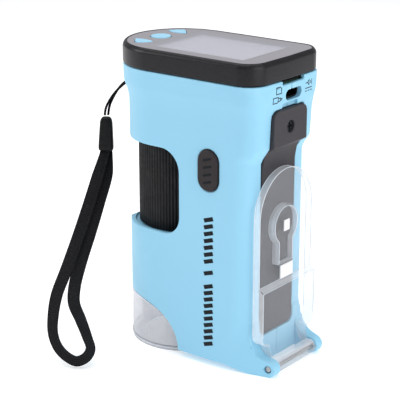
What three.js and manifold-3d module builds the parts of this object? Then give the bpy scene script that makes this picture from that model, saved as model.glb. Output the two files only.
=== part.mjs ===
// A handheld toy microscope: blue two-part body with a black screen housing on top, a ribbed focus
// drum at the nose, a clear hood over the specimen and a clear folding slide stage at the other end.
// Millimetres, +Z up. X runs along the body from the round nose (-X) to the stage end (+X).
// The working frame has x = 0 at the middle of the screen housing and z = 0 on the table.
import * as THREE from 'three';
import { mergeVertices } from 'three/addons/utils/BufferGeometryUtils.js';
import Module from 'manifold-3d';

const wasm = await Module();
wasm.setup();

// Driving dimensions
const HOUSING_LENGTH = 68.5;
const HOUSING_WIDTH = 42.6;
const HOUSING_TOP = 112.3;
const SEAM_Z = 104.8;
const GLASS_TOP = 112.2;
const GLASS_THICK = 0.95;
const GLASS_INSET = 1.5;
const GLASS_GAP = 0.15;
const DECK_Z = 108.6;
const HOUSING_CORNER = 7.5;
const HOUSING_BULGE = 0.4;
const BODY_WIDTH = 39.6;
const BODY_FOOT = 2;
const WALL = 1.8;
const FIT = 0.3;
const OPTIC_X = -12.07;
const END_X = 29.3;
const CORNER = 6.5;
const END_BULGE = 0.6;

const LUG_AXIS_X = 37;
const LUG_AXIS_Z = 3;
const LUG_RADIUS = 3;
const LUG_OUTER = 15.3;
const LUG_INNER = 11.7;
const PIN_RADIUS = 1.1;
const PIN_HOLE = 1.4;

const WINDOW = { right: 0.8, bottom: 46, top: 77.5, upperRadius: 8, lowerRadius: 7, lip: -28.5, nose: -35 };
const SHELF = { lower: 43.2, upper: 79.4, thickness: 1.8, radius: 18.6 };
const ARCH = { centreX: -22, reach: 22, height: 16.8 };

const LCD = { from: -16.8, to: 25.5, half: 15.2, bottom: 108.2, top: 111.1 };

const HOOD = { radius: 19.8, sleeve: 17.7, bore: 16.2, top: 22.5 };
const DRUM = { radius: 16.7, gripBore: 14.8, hub: 14.6, bore: 11.2, bottom: 45.3, top: 79.1 };
const GUIDE = { radius: 10.2, bore: 8.9, bottom: 24.3, top: 92, flange: 13 };
const CARRIER = { radius: 8.6, bore: 6.8, bottom: 31, top: 70 };
const DRIVE_PIN = { z: 58, radius: 1.2, reach: 12.6 };
const LENS = { radius: 6.5, half: 2.2, dome: 1.4, z: 36 };
const FOCUS_TRAVEL = 6;

const PLATE = {
  back: 30.7, thin: 33.3, thick: 35.2, half: 16.1, top: 73, stepZ: 32, shoulder: 10.4, corner: 4,
};
const BARREL = { radius: 2.7, half: 11.4 };
const KEYHOLE = { centreZ: 52.1, head: 7, stem: 4.2, root: 38.4 };
const TONGUE = { back: 31.7, gap: 0.4 };
const SPOT = { halfWidth: 1.65, bottom: 50.1, top: 54.1, thick: 0.28 };
const CLAMP = { half: 3.8, bottom: 32.9, top: 37.8, thick: 0.6 };
const STAGE_RELIEF = { from: 19, to: 30, half: 16.4, top: 1.4 };
const COVER = {
  half: 10, bottom: 12, top: 94.5, low: 29.6, high: 34.4, lowSkin: 1.4, highSkin: 2.8, corner: 3,
};
const COVER_RAMP = [[29.75, 74], [30.5, 78.3], [31.4, 80.1], [34.4, 81.9]];
const COVER_SCREW = { z: 88, clearance: 1.3, counterbore: 2.2, seatX: 32.4, headX: 33.75 };
const MODE = { x: 13.9, z: 73, radius: 4.2, straight: 6.3, proud: 0.8 };
const KEYS = { x: -22.7, pitch: 10.6, radius: 3.8, top: 112.5, bottom: 108.9, switchHalf: 2.2 };
const SOCKET = { y: 1.5, half: 4.9, bottom: 97.3, top: 101.2, corner: 1.9 };
const CARD = { y: 1.5, half: 6.6, bottom: 102.95, top: 104.7 };
const PRY_NOTCH = { half: 4.7, bottom: 94, top: 96.6, depthX: 32.5 };
const BOSS = { radius: 2.6, reach: 18.2, hole: 1.2, seat: 2.3, seatFrom: 12 };
const SHELL_SCREWS = [[8.9, 30], [23, 8.2], [3, 92], [20, 95.2]];
const LED_COUNT = 6;
const LED_CIRCLE = 12.6;

const BLUE = { color: 0x9ed8f2, roughness: 0.5, metalness: 0 };
const BLACK = { color: 0x2d2b30, roughness: 0.45, metalness: 0 };
const RUBBER = { color: 0x242327, roughness: 0.8, metalness: 0 };
const CLEAR = { color: 0xd9dde4, roughness: 0.08, metalness: 0, transparent: true, opacity: 0.45 };
const WHITE = { color: 0xe8e8ea, roughness: 0.5, metalness: 0 };
const STEEL = { color: 0xb9bbc0, roughness: 0.3, metalness: 1 };
const BOARD = { color: 0x1f6b45, roughness: 0.6, metalness: 0 };
const GLASS = { color: 0x8f8b94, roughness: 0.1, metalness: 0 };
const SCREEN = { color: 0xc8c8d2, roughness: 0.2, metalness: 0 };
const CELL_WRAP = { color: 0x3f6fae, roughness: 0.3, metalness: 0.2 };
const WEBBING = { color: 0x18181a, roughness: 0.95, metalness: 0 };

// Solids
const bare = (geometry) => {
  const plain = geometry.index ? geometry.toNonIndexed() : geometry.clone();
  plain.deleteAttribute('normal');
  plain.deleteAttribute('uv');
  return mergeVertices(plain, 1e-4);
};

function solid(geometry) {
  const merged = bare(geometry);
  const mesh = new wasm.Mesh({
    numProp: 3,
    vertProperties: new Float32Array(merged.attributes.position.array),
    triVerts: new Uint32Array(merged.index.array),
  });
  return new wasm.Manifold(mesh);
}

function geometryOf(body) {
  const mesh = body.getMesh();
  const geometry = new THREE.BufferGeometry();
  geometry.setAttribute('position', new THREE.BufferAttribute(mesh.vertProperties, 3));
  geometry.setIndex(new THREE.BufferAttribute(mesh.triVerts, 1));
  return geometry;
}

const joined = (first, ...others) => others.reduce((sum, next) => sum.add(next), first);
const cut = (first, ...others) => others.reduce((rest, next) => rest.subtract(next), first);

// Outlines drawn in (x, z) and pushed along Y, or drawn in (y, z) and pushed along X
const ALONG_X = new THREE.Matrix4().makeBasis(
  new THREE.Vector3(0, 1, 0),
  new THREE.Vector3(0, 0, 1),
  new THREE.Vector3(1, 0, 0),
);

function alongZ(shape, z0, z1, curveSegments = 5) {
  const geometry = new THREE.ExtrudeGeometry(shape, { depth: z1 - z0, bevelEnabled: false, curveSegments });
  return solid(geometry.translate(0, 0, z0));
}

function alongY(shape, y0, y1, curveSegments = 5) {
  const geometry = new THREE.ExtrudeGeometry(shape, { depth: y1 - y0, bevelEnabled: false, curveSegments });
  return solid(geometry.rotateX(Math.PI / 2).translate(0, y1, 0));
}

function alongX(shape, x0, x1, curveSegments = 5) {
  const geometry = new THREE.ExtrudeGeometry(shape, { depth: x1 - x0, bevelEnabled: false, curveSegments });
  return solid(geometry.applyMatrix4(ALONG_X).translate(x0, 0, 0));
}

function box(x0, x1, y0, y1, z0, z1) {
  const geometry = new THREE.BoxGeometry(x1 - x0, y1 - y0, z1 - z0);
  return solid(geometry.translate((x0 + x1) / 2, (y0 + y1) / 2, (z0 + z1) / 2));
}

function rod(x, y, radius, z0, z1, segments = 28) {
  const geometry = new THREE.CylinderGeometry(radius, radius, z1 - z0, segments);
  return solid(geometry.rotateX(Math.PI / 2).translate(x, y, (z0 + z1) / 2));
}

function crossRod(x, z, radius, y0, y1, segments = 16) {
  const geometry = new THREE.CylinderGeometry(radius, radius, y1 - y0, segments);
  return solid(geometry.translate(x, (y0 + y1) / 2, z));
}

function endRod(z, radius, x0, x1, segments = 14) {
  const geometry = new THREE.CylinderGeometry(radius, radius, x1 - x0, segments);
  return solid(geometry.rotateZ(Math.PI / 2).translate((x0 + x1) / 2, 0, z));
}

const ring = (outer, inner, z0, z1, segments = 40) => cut(
  rod(OPTIC_X, 0, outer, z0, z1, segments),
  rod(OPTIC_X, 0, inner, z0 - 1, z1 + 1, segments),
);

function polygon(points) {
  const shape = new THREE.Shape();
  points.forEach(([a, b], index) => (index ? shape.lineTo(a, b) : shape.moveTo(a, b)));
  shape.closePath();
  return shape;
}

function roundedRectangle(a0, a1, b0, b1, radius) {
  const shape = new THREE.Shape();
  shape.moveTo(a0 + radius, b0);
  shape.lineTo(a1 - radius, b0);
  shape.absarc(a1 - radius, b0 + radius, radius, -Math.PI / 2, 0);
  shape.absarc(a1 - radius, b1 - radius, radius, 0, Math.PI / 2);
  shape.absarc(a0 + radius, b1 - radius, radius, Math.PI / 2, Math.PI);
  shape.absarc(a0 + radius, b0 + radius, radius, Math.PI, 1.5 * Math.PI);
  return shape;
}

// Plan outline: a half-round nose, straight sides, and an end that is either a rounded corner
// (sweep 0) or a long lean-in toward the hinge lugs (sweep 1).
const NOSE_STEPS = 22;
const CORNER_STEPS = 5;
const END_STEPS = 2;
const SIDE_FLOW = { start: 14, end: 41, width: LUG_OUTER };

function planOutline({ half, noseX, endX, sweep = 0, bulge = END_BULGE, corner = CORNER }) {
  const mix = (plain, swept) => plain + (swept - plain) * sweep;
  const start = mix(endX - corner, SIDE_FLOW.start);
  const reach = mix(endX, SIDE_FLOW.end);
  const width = mix(half - corner, SIDE_FLOW.width);
  const edge = new THREE.CubicBezierCurve(
    new THREE.Vector2(start, half),
    new THREE.Vector2(mix(start + 0.55 * corner, 26), half),
    new THREE.Vector2(mix(endX, 33), mix(width + 0.45 * corner, width)),
    new THREE.Vector2(reach, width),
  ).getPoints(CORNER_STEPS);
  const points = [];
  for (let step = 0; step <= NOSE_STEPS; step += 1) {
    const angle = Math.PI / 2 + (Math.PI * step) / NOSE_STEPS;
    points.push(new THREE.Vector2(noseX + half * Math.cos(angle), half * Math.sin(angle)));
  }
  edge.forEach((point) => points.push(new THREE.Vector2(point.x, -point.y)));
  for (let step = 1; step < END_STEPS; step += 1) {
    const y = width * ((2 * step) / END_STEPS - 1);
    points.push(new THREE.Vector2(reach + bulge * (1 - (y / width) ** 2), y));
  }
  edge.reverse().forEach((point) => points.push(point.clone()));
  return points;
}

// Closed body through stacked outlines that all have the same number of points
function loft(levels) {
  const count = levels[0].points.length;
  const vertices = levels.flatMap(({ z, points }) => points.flatMap((point) => [point.x, point.y, z]));
  const faces = [];
  for (let row = 0; row < levels.length - 1; row += 1) {
    for (let column = 0; column < count; column += 1) {
      const a = row * count + column;
      const b = row * count + ((column + 1) % count);
      faces.push(a, b, b + count, a, b + count, a + count);
    }
  }
  const top = (levels.length - 1) * count;
  THREE.ShapeUtils.triangulateShape(levels[0].points, []).forEach(([a, b, c]) => faces.push(a, c, b));
  const lid = THREE.ShapeUtils.triangulateShape(levels[levels.length - 1].points, []);
  lid.forEach(([a, b, c]) => faces.push(a + top, b + top, c + top));
  const geometry = new THREE.BufferGeometry();
  geometry.setAttribute('position', new THREE.Float32BufferAttribute(vertices, 3));
  geometry.setIndex(faces);
  return solid(geometry);
}

// Body: height, half width, nose centre, end position, share of the sweep toward the lugs
const HALF = BODY_WIDTH / 2;
const BODY_LEVELS = [
  [-1, HALF, OPTIC_X, END_X, 1],
  [6.5, HALF, OPTIC_X, END_X, 1],
  [9, HALF, OPTIC_X, END_X, 0.7],
  [13, HALF, OPTIC_X, END_X, 0.25],
  [18, HALF, OPTIC_X, END_X, 0],
  [76, HALF, OPTIC_X, END_X, 0],
  [78.3, HALF, OPTIC_X, 30.4, 0],
  [81.4, HALF, OPTIC_X, 32.5, 0],
  [88, HALF, OPTIC_X, 32.8, 0],
  [92, 19.85, -12.15, 33, 0],
  [94.8, 20.2, -12.4, 33.3, 0],
  [97.3, 20.8, -12.8, 33.6, 0],
  [98.8, 21.05, -12.95, 33.8, 0],
  [SEAM_Z - FIT, 21.15, -13, 33.9, 0],
];

function bodyLoft(inset, foot, openTop) {
  const rows = BODY_LEVELS.filter(([z]) => !inset || z >= foot).map(([z, half, noseX, endX, sweep]) => ({
    z,
    points: planOutline({
      half: half - inset,
      noseX,
      endX: endX - inset,
      sweep: inset ? 0 : sweep,
      corner: CORNER - inset,
    }),
  }));
  if (!inset) return loft(rows);
  return loft([{ z: foot, points: rows[0].points }, ...rows, { z: openTop, points: rows.at(-1).points }]);
}

// Side view limits of the lower end: foot line, hinge lug and the hollow that runs up to the end face
function sideLimit() {
  const shape = new THREE.Shape();
  shape.moveTo(-60, BODY_FOOT);
  shape.lineTo(20, BODY_FOOT);
  shape.lineTo(END_X, 0);
  shape.lineTo(LUG_AXIS_X, 0);
  shape.absarc(LUG_AXIS_X, LUG_AXIS_Z, LUG_RADIUS, -Math.PI / 2, Math.PI / 2);
  shape.quadraticCurveTo(30.4, 6.2, END_X + END_BULGE, 13);
  shape.lineTo(END_X + END_BULGE, 18);
  shape.lineTo(60, 18);
  shape.lineTo(60, HOUSING_TOP);
  shape.lineTo(-60, HOUSING_TOP);
  shape.closePath();
  return shape;
}

// Quarter-ellipse arch over the hood, run out level past the nose
const ARCH_STEPS = 12;

function archPoints(offset) {
  const points = [[-60, BODY_FOOT + ARCH.height + offset]];
  for (let step = 0; step <= ARCH_STEPS; step += 1) {
    const angle = (Math.PI / 2) * (step / ARCH_STEPS);
    points.push([
      ARCH.centreX + ARCH.reach * Math.sin(angle),
      BODY_FOOT + ARCH.height * Math.cos(angle) + offset,
    ]);
  }
  return points;
}

function windowOutline() {
  const { right, bottom, top, upperRadius, lowerRadius, lip, nose } = WINDOW;
  const shape = new THREE.Shape();
  shape.moveTo(lip, bottom);
  shape.lineTo(right - lowerRadius, bottom);
  shape.absarc(right - lowerRadius, bottom + lowerRadius, lowerRadius, -Math.PI / 2, 0);
  shape.absarc(right - upperRadius, top - upperRadius, upperRadius, 0, Math.PI / 2);
  shape.lineTo(lip, top);
  shape.lineTo(nose, top + 5);
  shape.lineTo(nose, bottom - 4);
  shape.closePath();
  return shape;
}

function slot(x, z, radius, straight) {
  const rise = straight / 2 + radius;
  return roundedRectangle(x - radius, x + radius, z - rise, z + rise, radius);
}

function coverOutline(grow) {
  const { half, bottom, top, corner } = COVER;
  return roundedRectangle(-half - grow, half + grow, bottom - grow, top + grow, corner);
}

function socketOutline(shrink) {
  const { y, bottom, top, corner } = SOCKET;
  const half = SOCKET.half - shrink;
  return roundedRectangle(y - half, y + half, bottom + shrink, top - shrink, corner - shrink);
}

function bodyHalf(side) {
  const far = 30;
  const inner = 0.1;
  const keep = side < 0 ? box(-60, 60, -far, -inner, -5, 130) : box(-60, 60, inner, far, -5, 130);
  let shell = bodyLoft(0).intersect(alongY(sideLimit(), -far, far));
  shell = cut(shell, bodyLoft(WALL, BODY_FOOT + WALL, HOUSING_TOP));
  const shelf = (z) => rod(OPTIC_X, 0, SHELF.radius, z, z + SHELF.thickness);
  const shelves = [SHELF.lower, SHELF.upper].map(shelf);
  const bosses = SHELL_SCREWS.map(([x, z]) => crossRod(x, z, BOSS.radius, -BOSS.reach, BOSS.reach, 12));
  shell = joined(shell, ...shelves, ...bosses);
  shell = cut(
    shell,
    rod(OPTIC_X, 0, GUIDE.radius + FIT, SHELF.lower - 1, 90),
    rod(OPTIC_X, 0, HOOD.sleeve + FIT, -1, SHELF.lower - 1, 40),
    alongY(polygon([[-60, -2], ...archPoints(0), [0, -2]]), -far, far),
    alongY(windowOutline(), -far, far),
    box(LUG_AXIS_X - 7, 60, -LUG_INNER, LUG_INNER, -2, 20),
    crossRod(LUG_AXIS_X, LUG_AXIS_Z, PIN_HOLE, -far, far),
    alongX(coverOutline(FIT), 26, 60),
    alongX(socketOutline(0), 26, 60),
    box(26, 60, CARD.y - CARD.half, CARD.y + CARD.half, 103.1, 110),
    box(PRY_NOTCH.depthX, 60, -PRY_NOTCH.half, PRY_NOTCH.half, PRY_NOTCH.bottom, PRY_NOTCH.top),
    box(STAGE_RELIEF.from, STAGE_RELIEF.to, -STAGE_RELIEF.half, STAGE_RELIEF.half, -2, STAGE_RELIEF.top),
    ...SHELL_SCREWS.map(([x, z]) => crossRod(x, z, BOSS.hole, side < 0 ? -9 : -1, far, 8)),
  );
  if (side < 0) {
    shell = cut(shell, alongY(slot(MODE.x, MODE.z, MODE.radius + FIT, MODE.straight), -far, -10));
  } else {
    const seats = SHELL_SCREWS.map(([x, z]) => crossRod(x, z, BOSS.seat, BOSS.seatFrom, far, 12));
    shell = cut(shell, ...seats, strapPocket());
  }
  return shell.intersect(keep);
}

// Strap fixing: a steel post across a small pocket in the rear shell, close to the nose
const POST = { angle: (165 * Math.PI) / 180, reach: 19, z: 95.5, half: 4, radius: 0.8 };
const postX = OPTIC_X + POST.reach * Math.cos(POST.angle);
const postY = POST.reach * Math.sin(POST.angle);

function strapPocket() {
  const outward = 1.4;
  const geometry = new THREE.BoxGeometry(6, 5, 2 * POST.half);
  const x = postX + outward * Math.cos(POST.angle);
  const y = postY + outward * Math.sin(POST.angle);
  return solid(geometry.rotateZ(POST.angle).translate(x, y, POST.z));
}

// Screen housing: a rounded rim round a flush window, with a deck that holds the display
const housingOutline = (inset) => planOutline({
  half: HOUSING_WIDTH / 2 - inset,
  noseX: (HOUSING_WIDTH - HOUSING_LENGTH) / 2,
  endX: HOUSING_LENGTH / 2 - HOUSING_BULGE - inset,
  corner: HOUSING_CORNER - inset,
  bulge: HOUSING_BULGE,
});

function topHousing() {
  const rim = [
    [SEAM_Z, 0.1],
    [SEAM_Z + 0.5, 0],
    [HOUSING_TOP - 1.7, 0],
    [HOUSING_TOP - 1, 0.2],
    [HOUSING_TOP - 0.4, 0.6],
    [HOUSING_TOP, 1.2],
  ];
  const outer = loft(rim.map(([z, inset]) => ({ z, points: housingOutline(inset) })));
  const hollow = loft([SEAM_Z - 1, DECK_Z].map((z) => ({ z, points: housingOutline(2) })));
  const floor = GLASS_TOP - GLASS_THICK - GLASS_GAP;
  const seat = housingOutline(GLASS_INSET - GLASS_GAP);
  const pocket = loft([floor, HOUSING_TOP + 1].map((z) => ({ z, points: seat })));
  return cut(
    outer,
    hollow,
    pocket,
    box(LCD.from - FIT, LCD.to + FIT, -LCD.half - FIT, LCD.half + FIT, DECK_Z - 1, HOUSING_TOP),
    ...keyOutlines(FIT).map((outline) => alongZ(outline, DECK_Z - 1, HOUSING_TOP)),
  );
}

function displayWindow() {
  const points = housingOutline(GLASS_INSET);
  const plate = loft([GLASS_TOP - GLASS_THICK, GLASS_TOP].map((z) => ({ z, points })));
  return cut(plate, ...keyOutlines(FIT).map((outline) => alongZ(outline, DECK_Z, HOUSING_TOP)));
}

// Top keys in plan: a round one between two rounded triangles that point to the sides
const KEY_WEDGE = { base: 2.4, tip: 3.2, halfWidth: 4.1, shoulder: 1.2, bow: 0.6, waist: 1.6 };

function keyOutlines(grow) {
  const round = new THREE.Shape();
  round.absarc(KEYS.x, 0, KEYS.radius + grow, 0, 2 * Math.PI);
  const pointed = (side) => {
    const { shoulder, bow, waist } = KEY_WEDGE;
    const base = side * (KEYS.pitch - KEY_WEDGE.base - grow);
    const tip = side * (KEYS.pitch + KEY_WEDGE.tip + grow);
    const width = KEY_WEDGE.halfWidth + grow;
    const shape = new THREE.Shape();
    shape.moveTo(KEYS.x - width, base + side * shoulder);
    shape.quadraticCurveTo(KEYS.x - waist, tip - side * bow, KEYS.x, tip);
    shape.quadraticCurveTo(KEYS.x + waist, tip - side * bow, KEYS.x + width, base + side * shoulder);
    shape.quadraticCurveTo(KEYS.x, base - side * bow, KEYS.x - width, base + side * shoulder);
    return shape;
  };
  return [pointed(-1), round, pointed(1)];
}

function clearHood() {
  const skin = ring(HOOD.radius, HOOD.bore, 0, 22);
  const edge = archPoints(-FIT).slice(0, -1);
  const above = polygon([[-60, 60], ...edge, [0, BODY_FOOT - FIT], [40, BODY_FOOT - FIT], [40, 60]]);
  const trimmed = cut(skin, alongY(above, -30, 30));
  return joined(trimmed, ring(HOOD.sleeve, HOOD.bore, 1, HOOD.top));
}

function guideTube() {
  const tube = joined(
    rod(OPTIC_X, 0, GUIDE.radius, GUIDE.bottom, GUIDE.top),
    rod(OPTIC_X, 0, GUIDE.flange, 81.4, 83),
  );
  const slotBottom = DRIVE_PIN.z - DRIVE_PIN.radius - FIT;
  const slotTop = DRIVE_PIN.z + FOCUS_TRAVEL + DRIVE_PIN.radius + FIT;
  return cut(
    tube,
    rod(OPTIC_X, 0, GUIDE.bore, GUIDE.bottom - 1, GUIDE.top + 1),
    box(OPTIC_X - 1.6, OPTIC_X + 1.6, -GUIDE.flange, GUIDE.flange, slotBottom, slotTop),
  );
}

function lensCarrier() {
  const body = joined(
    rod(OPTIC_X, 0, CARRIER.radius, CARRIER.bottom, CARRIER.top),
    crossRod(OPTIC_X, DRIVE_PIN.z, DRIVE_PIN.radius, -DRIVE_PIN.reach, DRIVE_PIN.reach, 10),
  );
  return cut(body, rod(OPTIC_X, 0, CARRIER.bore, CARRIER.bottom - 1, CARRIER.top + 1));
}

// Cam groove inside the drum hub: one helical ramp for each drive pin of the lens carrier
const CAM_TURN = (240 * Math.PI) / 180;
const CAM_MARGIN = 0.14;
const CAM_RADIUS = 11.8;
const CAM_GROOVE = 1.75;

class CamRamp extends THREE.Curve {
  constructor(startAngle) {
    super();
    this.startAngle = startAngle;
  }

  getPoint(t, target = new THREE.Vector3()) {
    const share = -CAM_MARGIN + t * (1 + 2 * CAM_MARGIN);
    const angle = this.startAngle - share * CAM_TURN;
    const z = DRIVE_PIN.z + FOCUS_TRAVEL * THREE.MathUtils.clamp(share, -0.02, 1.02);
    return target.set(OPTIC_X + CAM_RADIUS * Math.cos(angle), CAM_RADIUS * Math.sin(angle), z);
  }
}

function focusCamHub() {
  const groove = (startAngle) => solid(new THREE.ExtrudeGeometry(polygonSection(CAM_GROOVE, 8), {
    steps: 30,
    bevelEnabled: false,
    extrudePath: new CamRamp(startAngle),
  }));
  return cut(
    ring(DRUM.hub, DRUM.bore, DRUM.bottom, DRUM.top),
    groove(Math.PI / 2),
    groove(-Math.PI / 2),
  );
}

function objectiveLens() {
  const profile = [new THREE.Vector2(0, -LENS.half)];
  for (let step = 1; step <= 3; step += 1) {
    profile.push(new THREE.Vector2(LENS.radius * (step / 3), LENS.dome * (step / 3) ** 2 - LENS.half));
  }
  for (let step = 3; step >= 1; step -= 1) {
    profile.push(new THREE.Vector2(LENS.radius * (step / 3), LENS.half - LENS.dome * (step / 3) ** 2));
  }
  profile.push(new THREE.Vector2(0, LENS.half));
  const geometry = new THREE.LatheGeometry(profile, 24);
  return solid(geometry.rotateX(Math.PI / 2).translate(OPTIC_X, 0, LENS.z));
}

// Stage: a clear plate with a round top, a thicker foot and a hinge barrel
function stageProfile() {
  const { back, thin, thick, top, stepZ, shoulder } = PLATE;
  const shape = new THREE.Shape();
  shape.moveTo(back, top + 1);
  shape.lineTo(back, shoulder);
  shape.quadraticCurveTo(back + 0.3, 5.6, LUG_AXIS_X - 2.45, 1.9);
  shape.absarc(LUG_AXIS_X, LUG_AXIS_Z, BARREL.radius, 1.13 * Math.PI, 2.62 * Math.PI);
  shape.quadraticCurveTo(thick + 0.2, 6.6, thick, 13);
  shape.lineTo(thick, stepZ - 0.9);
  shape.lineTo(thin, stepZ + 0.6);
  shape.lineTo(thin, top + 1);
  shape.closePath();
  return shape;
}

function stageOutline() {
  const { half, top, shoulder, corner } = PLATE;
  const shape = new THREE.Shape();
  shape.moveTo(-BARREL.half, -1);
  shape.lineTo(BARREL.half, -1);
  shape.lineTo(BARREL.half, shoulder);
  shape.lineTo(half - corner, shoulder);
  shape.absarc(half - corner, shoulder + corner, corner, -Math.PI / 2, 0);
  shape.lineTo(half, top - half);
  shape.absarc(0, top - half, half, 0, Math.PI);
  shape.lineTo(-half, shoulder + corner);
  shape.absarc(-half + corner, shoulder + corner, corner, Math.PI, 1.5 * Math.PI);
  shape.lineTo(-BARREL.half, shoulder);
  shape.closePath();
  return shape;
}

function keyhole(grow) {
  const head = KEYHOLE.head + grow;
  const stem = KEYHOLE.stem + grow;
  const neck = Math.asin(stem / head);
  const shape = new THREE.Shape();
  shape.moveTo(-stem, KEYHOLE.root - grow);
  shape.lineTo(stem, KEYHOLE.root - grow);
  shape.absarc(0, KEYHOLE.centreZ, head, -Math.PI / 2 + neck, 1.5 * Math.PI - neck);
  shape.closePath();
  return shape;
}

function slideStage() {
  const plate = alongY(stageProfile(), -PLATE.half, PLATE.half, 8);
  return cut(
    plate.intersect(alongX(stageOutline(), 20, 50, 16)),
    crossRod(LUG_AXIS_X, LUG_AXIS_Z, PIN_HOLE, -20, 20),
    alongX(keyhole(TONGUE.gap), 20, 40, 12),
  );
}

// Battery cover: proud and screwed at the top, stepping back behind the stage
function batteryCover() {
  const { low, high, lowSkin, highSkin, bottom, top, half } = COVER;
  const innerRamp = [[high - highSkin, 83], [low - lowSkin, 79]];
  const side = polygon([
    [low, bottom], ...COVER_RAMP, [high, top], [high - highSkin, top], ...innerRamp, [low - lowSkin, bottom],
  ]);
  return cut(
    alongY(side, -half, half).intersect(alongX(coverOutline(0), 20, 40)),
    endRod(COVER_SCREW.z, COVER_SCREW.counterbore, COVER_SCREW.seatX, 40),
    endRod(COVER_SCREW.z, COVER_SCREW.clearance, 20, 40),
  );
}

const TRAY = { from: 13, to: 28.1, half: 9.2, bottom: 12.8, top: 74, wall: 1.3 };
const TRAY_BOSS = { half: 3.6, neckX: 24, neckZ: 70, bottom: 83.4, top: 92, face: 31.5 };

const CELL = { x: 21.25, radius: 6.75, contact: 3 };

function batteryTray() {
  const { from, to, half, bottom, top, wall } = TRAY;
  const boss = TRAY_BOSS;
  return cut(
    joined(
      box(from, to, -half, half, bottom, top),
      box(boss.neckX, to, -boss.half, boss.half, boss.neckZ, boss.top),
      box(to - 0.1, boss.face, -boss.half, boss.half, boss.bottom, boss.top),
    ),
    box(from + wall, 40, -half + wall, half - wall, bottom + wall, boss.neckZ - wall),
    endRod(COVER_SCREW.z, COVER_SCREW.clearance, 22, 40),
  );
}

function flatHead(headRadius, headHeight, shaftRadius, length) {
  const head = new THREE.CylinderGeometry(headRadius, headRadius, headHeight, 14);
  const shaft = new THREE.CylinderGeometry(shaftRadius, shaftRadius, length, 8);
  const slotWidth = 0.6;
  const slotLength = 1.4 * headRadius;
  const slotCut = new THREE.BoxGeometry(slotWidth, 1, slotLength);
  const crossCut = new THREE.BoxGeometry(slotLength, 1, slotWidth);
  const screw = joined(
    solid(head.translate(0, -headHeight / 2, 0)),
    solid(shaft.translate(0, -headHeight - length / 2 + 0.1, 0)),
  );
  return cut(screw, solid(slotCut), solid(crossCut));
}

const smoothPath = (points) => new THREE.CatmullRomCurve3(
  points.map((point) => new THREE.Vector3(...point)),
  false,
  'centripetal',
);

function polygonSection(radius, sides) {
  const points = [];
  for (let side = 0; side < sides; side += 1) {
    const angle = (2 * Math.PI * side) / sides;
    points.push([radius * Math.cos(angle), radius * Math.sin(angle)]);
  }
  return polygon(points);
}

// Wrist strap: a thin cord looped round the post, a bead, and a flat webbing loop that leans out
// from the bead and rests on the table
const STRAP = { cordRadius: 0.5, width: 5, thickness: 1.1, face: new THREE.Vector3(0.47, -0.61, 0.64) };
const CORD_ROUTE = [
  [-46.8, -2.4, 79.4], [-46.9, -1.2, 83], [-45.6, 1.8, 88.5], [-42, 4.9, 93], [-37.5, 6.6, 95.2],
  [-33.5, 7.1, 95.6], [-30.2, 6.6, 95.5], [-28.7, 4.5, 95.5], [-30.8, 3.1, 95.4], [-34.1, 4.3, 95.2],
  [-38.2, 3.6, 94.2], [-42.8, 1.8, 91], [-46.4, -0.8, 86], [-47.7, -2.6, 82], [-47.6, -3.4, 79.4],
];
const WEBBING_ROUTE = [
  [-46.4, -5.3, 65.1], [-45.6, -7.4, 63], [-43.9, -13.3, 56.4], [-41.9, -20.8, 47.7],
  [-40, -28.8, 38.5], [-38.5, -36.8, 29.2], [-37.5, -43.1, 21.9], [-35.5, -47.4, 15.8],
  [-32.7, -50.7, 10.6], [-29.1, -52.1, 6.6], [-25, -51.9, 3.9], [-21.5, -50.6, 2.7],
  [-19.4, -47.9, 3.9], [-19.5, -45.4, 6.2], [-22.3, -43.9, 9.4], [-27.1, -42.1, 14.7],
  [-31.4, -40.6, 19.3], [-33.8, -37.5, 24.1], [-36.2, -31.4, 30.9], [-38.6, -22.9, 40.3],
  [-41, -14.9, 49.6], [-43.4, -7.7, 58], [-46.2, -3.9, 63], [-46.9, -3.1, 65.1],
];

function strapCord() {
  return new THREE.ExtrudeGeometry(polygonSection(STRAP.cordRadius, 8), {
    steps: 30,
    bevelEnabled: false,
    extrudePath: smoothPath(CORD_ROUTE),
  });
}

const BEAD = {
  bottom: new THREE.Vector3(-46.8, -4, 66),
  top: new THREE.Vector3(-47.2, -3, 79),
  turn: (37.7 * Math.PI) / 180,
  halfWidth: 2.9,
  halfDepth: 2,
  squareness: 0.6,
  sides: 16,
};

function strapBead() {
  const { turn, bottom, top, halfWidth, halfDepth, squareness, sides } = BEAD;
  const sections = [[0, 0.9], [0.06, 1], [0.6, 0.96], [0.9, 0.84], [1, 0.62]];
  const levels = sections.map(([share, size]) => {
    const centre = bottom.clone().lerp(top, share);
    const points = [];
    for (let step = 0; step < sides; step += 1) {
      const angle = (2 * Math.PI * step) / sides;
      const wide = halfWidth * size * Math.sign(Math.cos(angle)) * Math.abs(Math.cos(angle)) ** squareness;
      const deep = halfDepth * size * Math.sign(Math.sin(angle)) * Math.abs(Math.sin(angle)) ** squareness;
      points.push(new THREE.Vector2(
        centre.x + wide * Math.cos(turn) - deep * Math.sin(turn),
        centre.y + wide * Math.sin(turn) + deep * Math.cos(turn),
      ));
    }
    return { z: centre.z, points };
  });
  return loft(levels);
}

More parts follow.
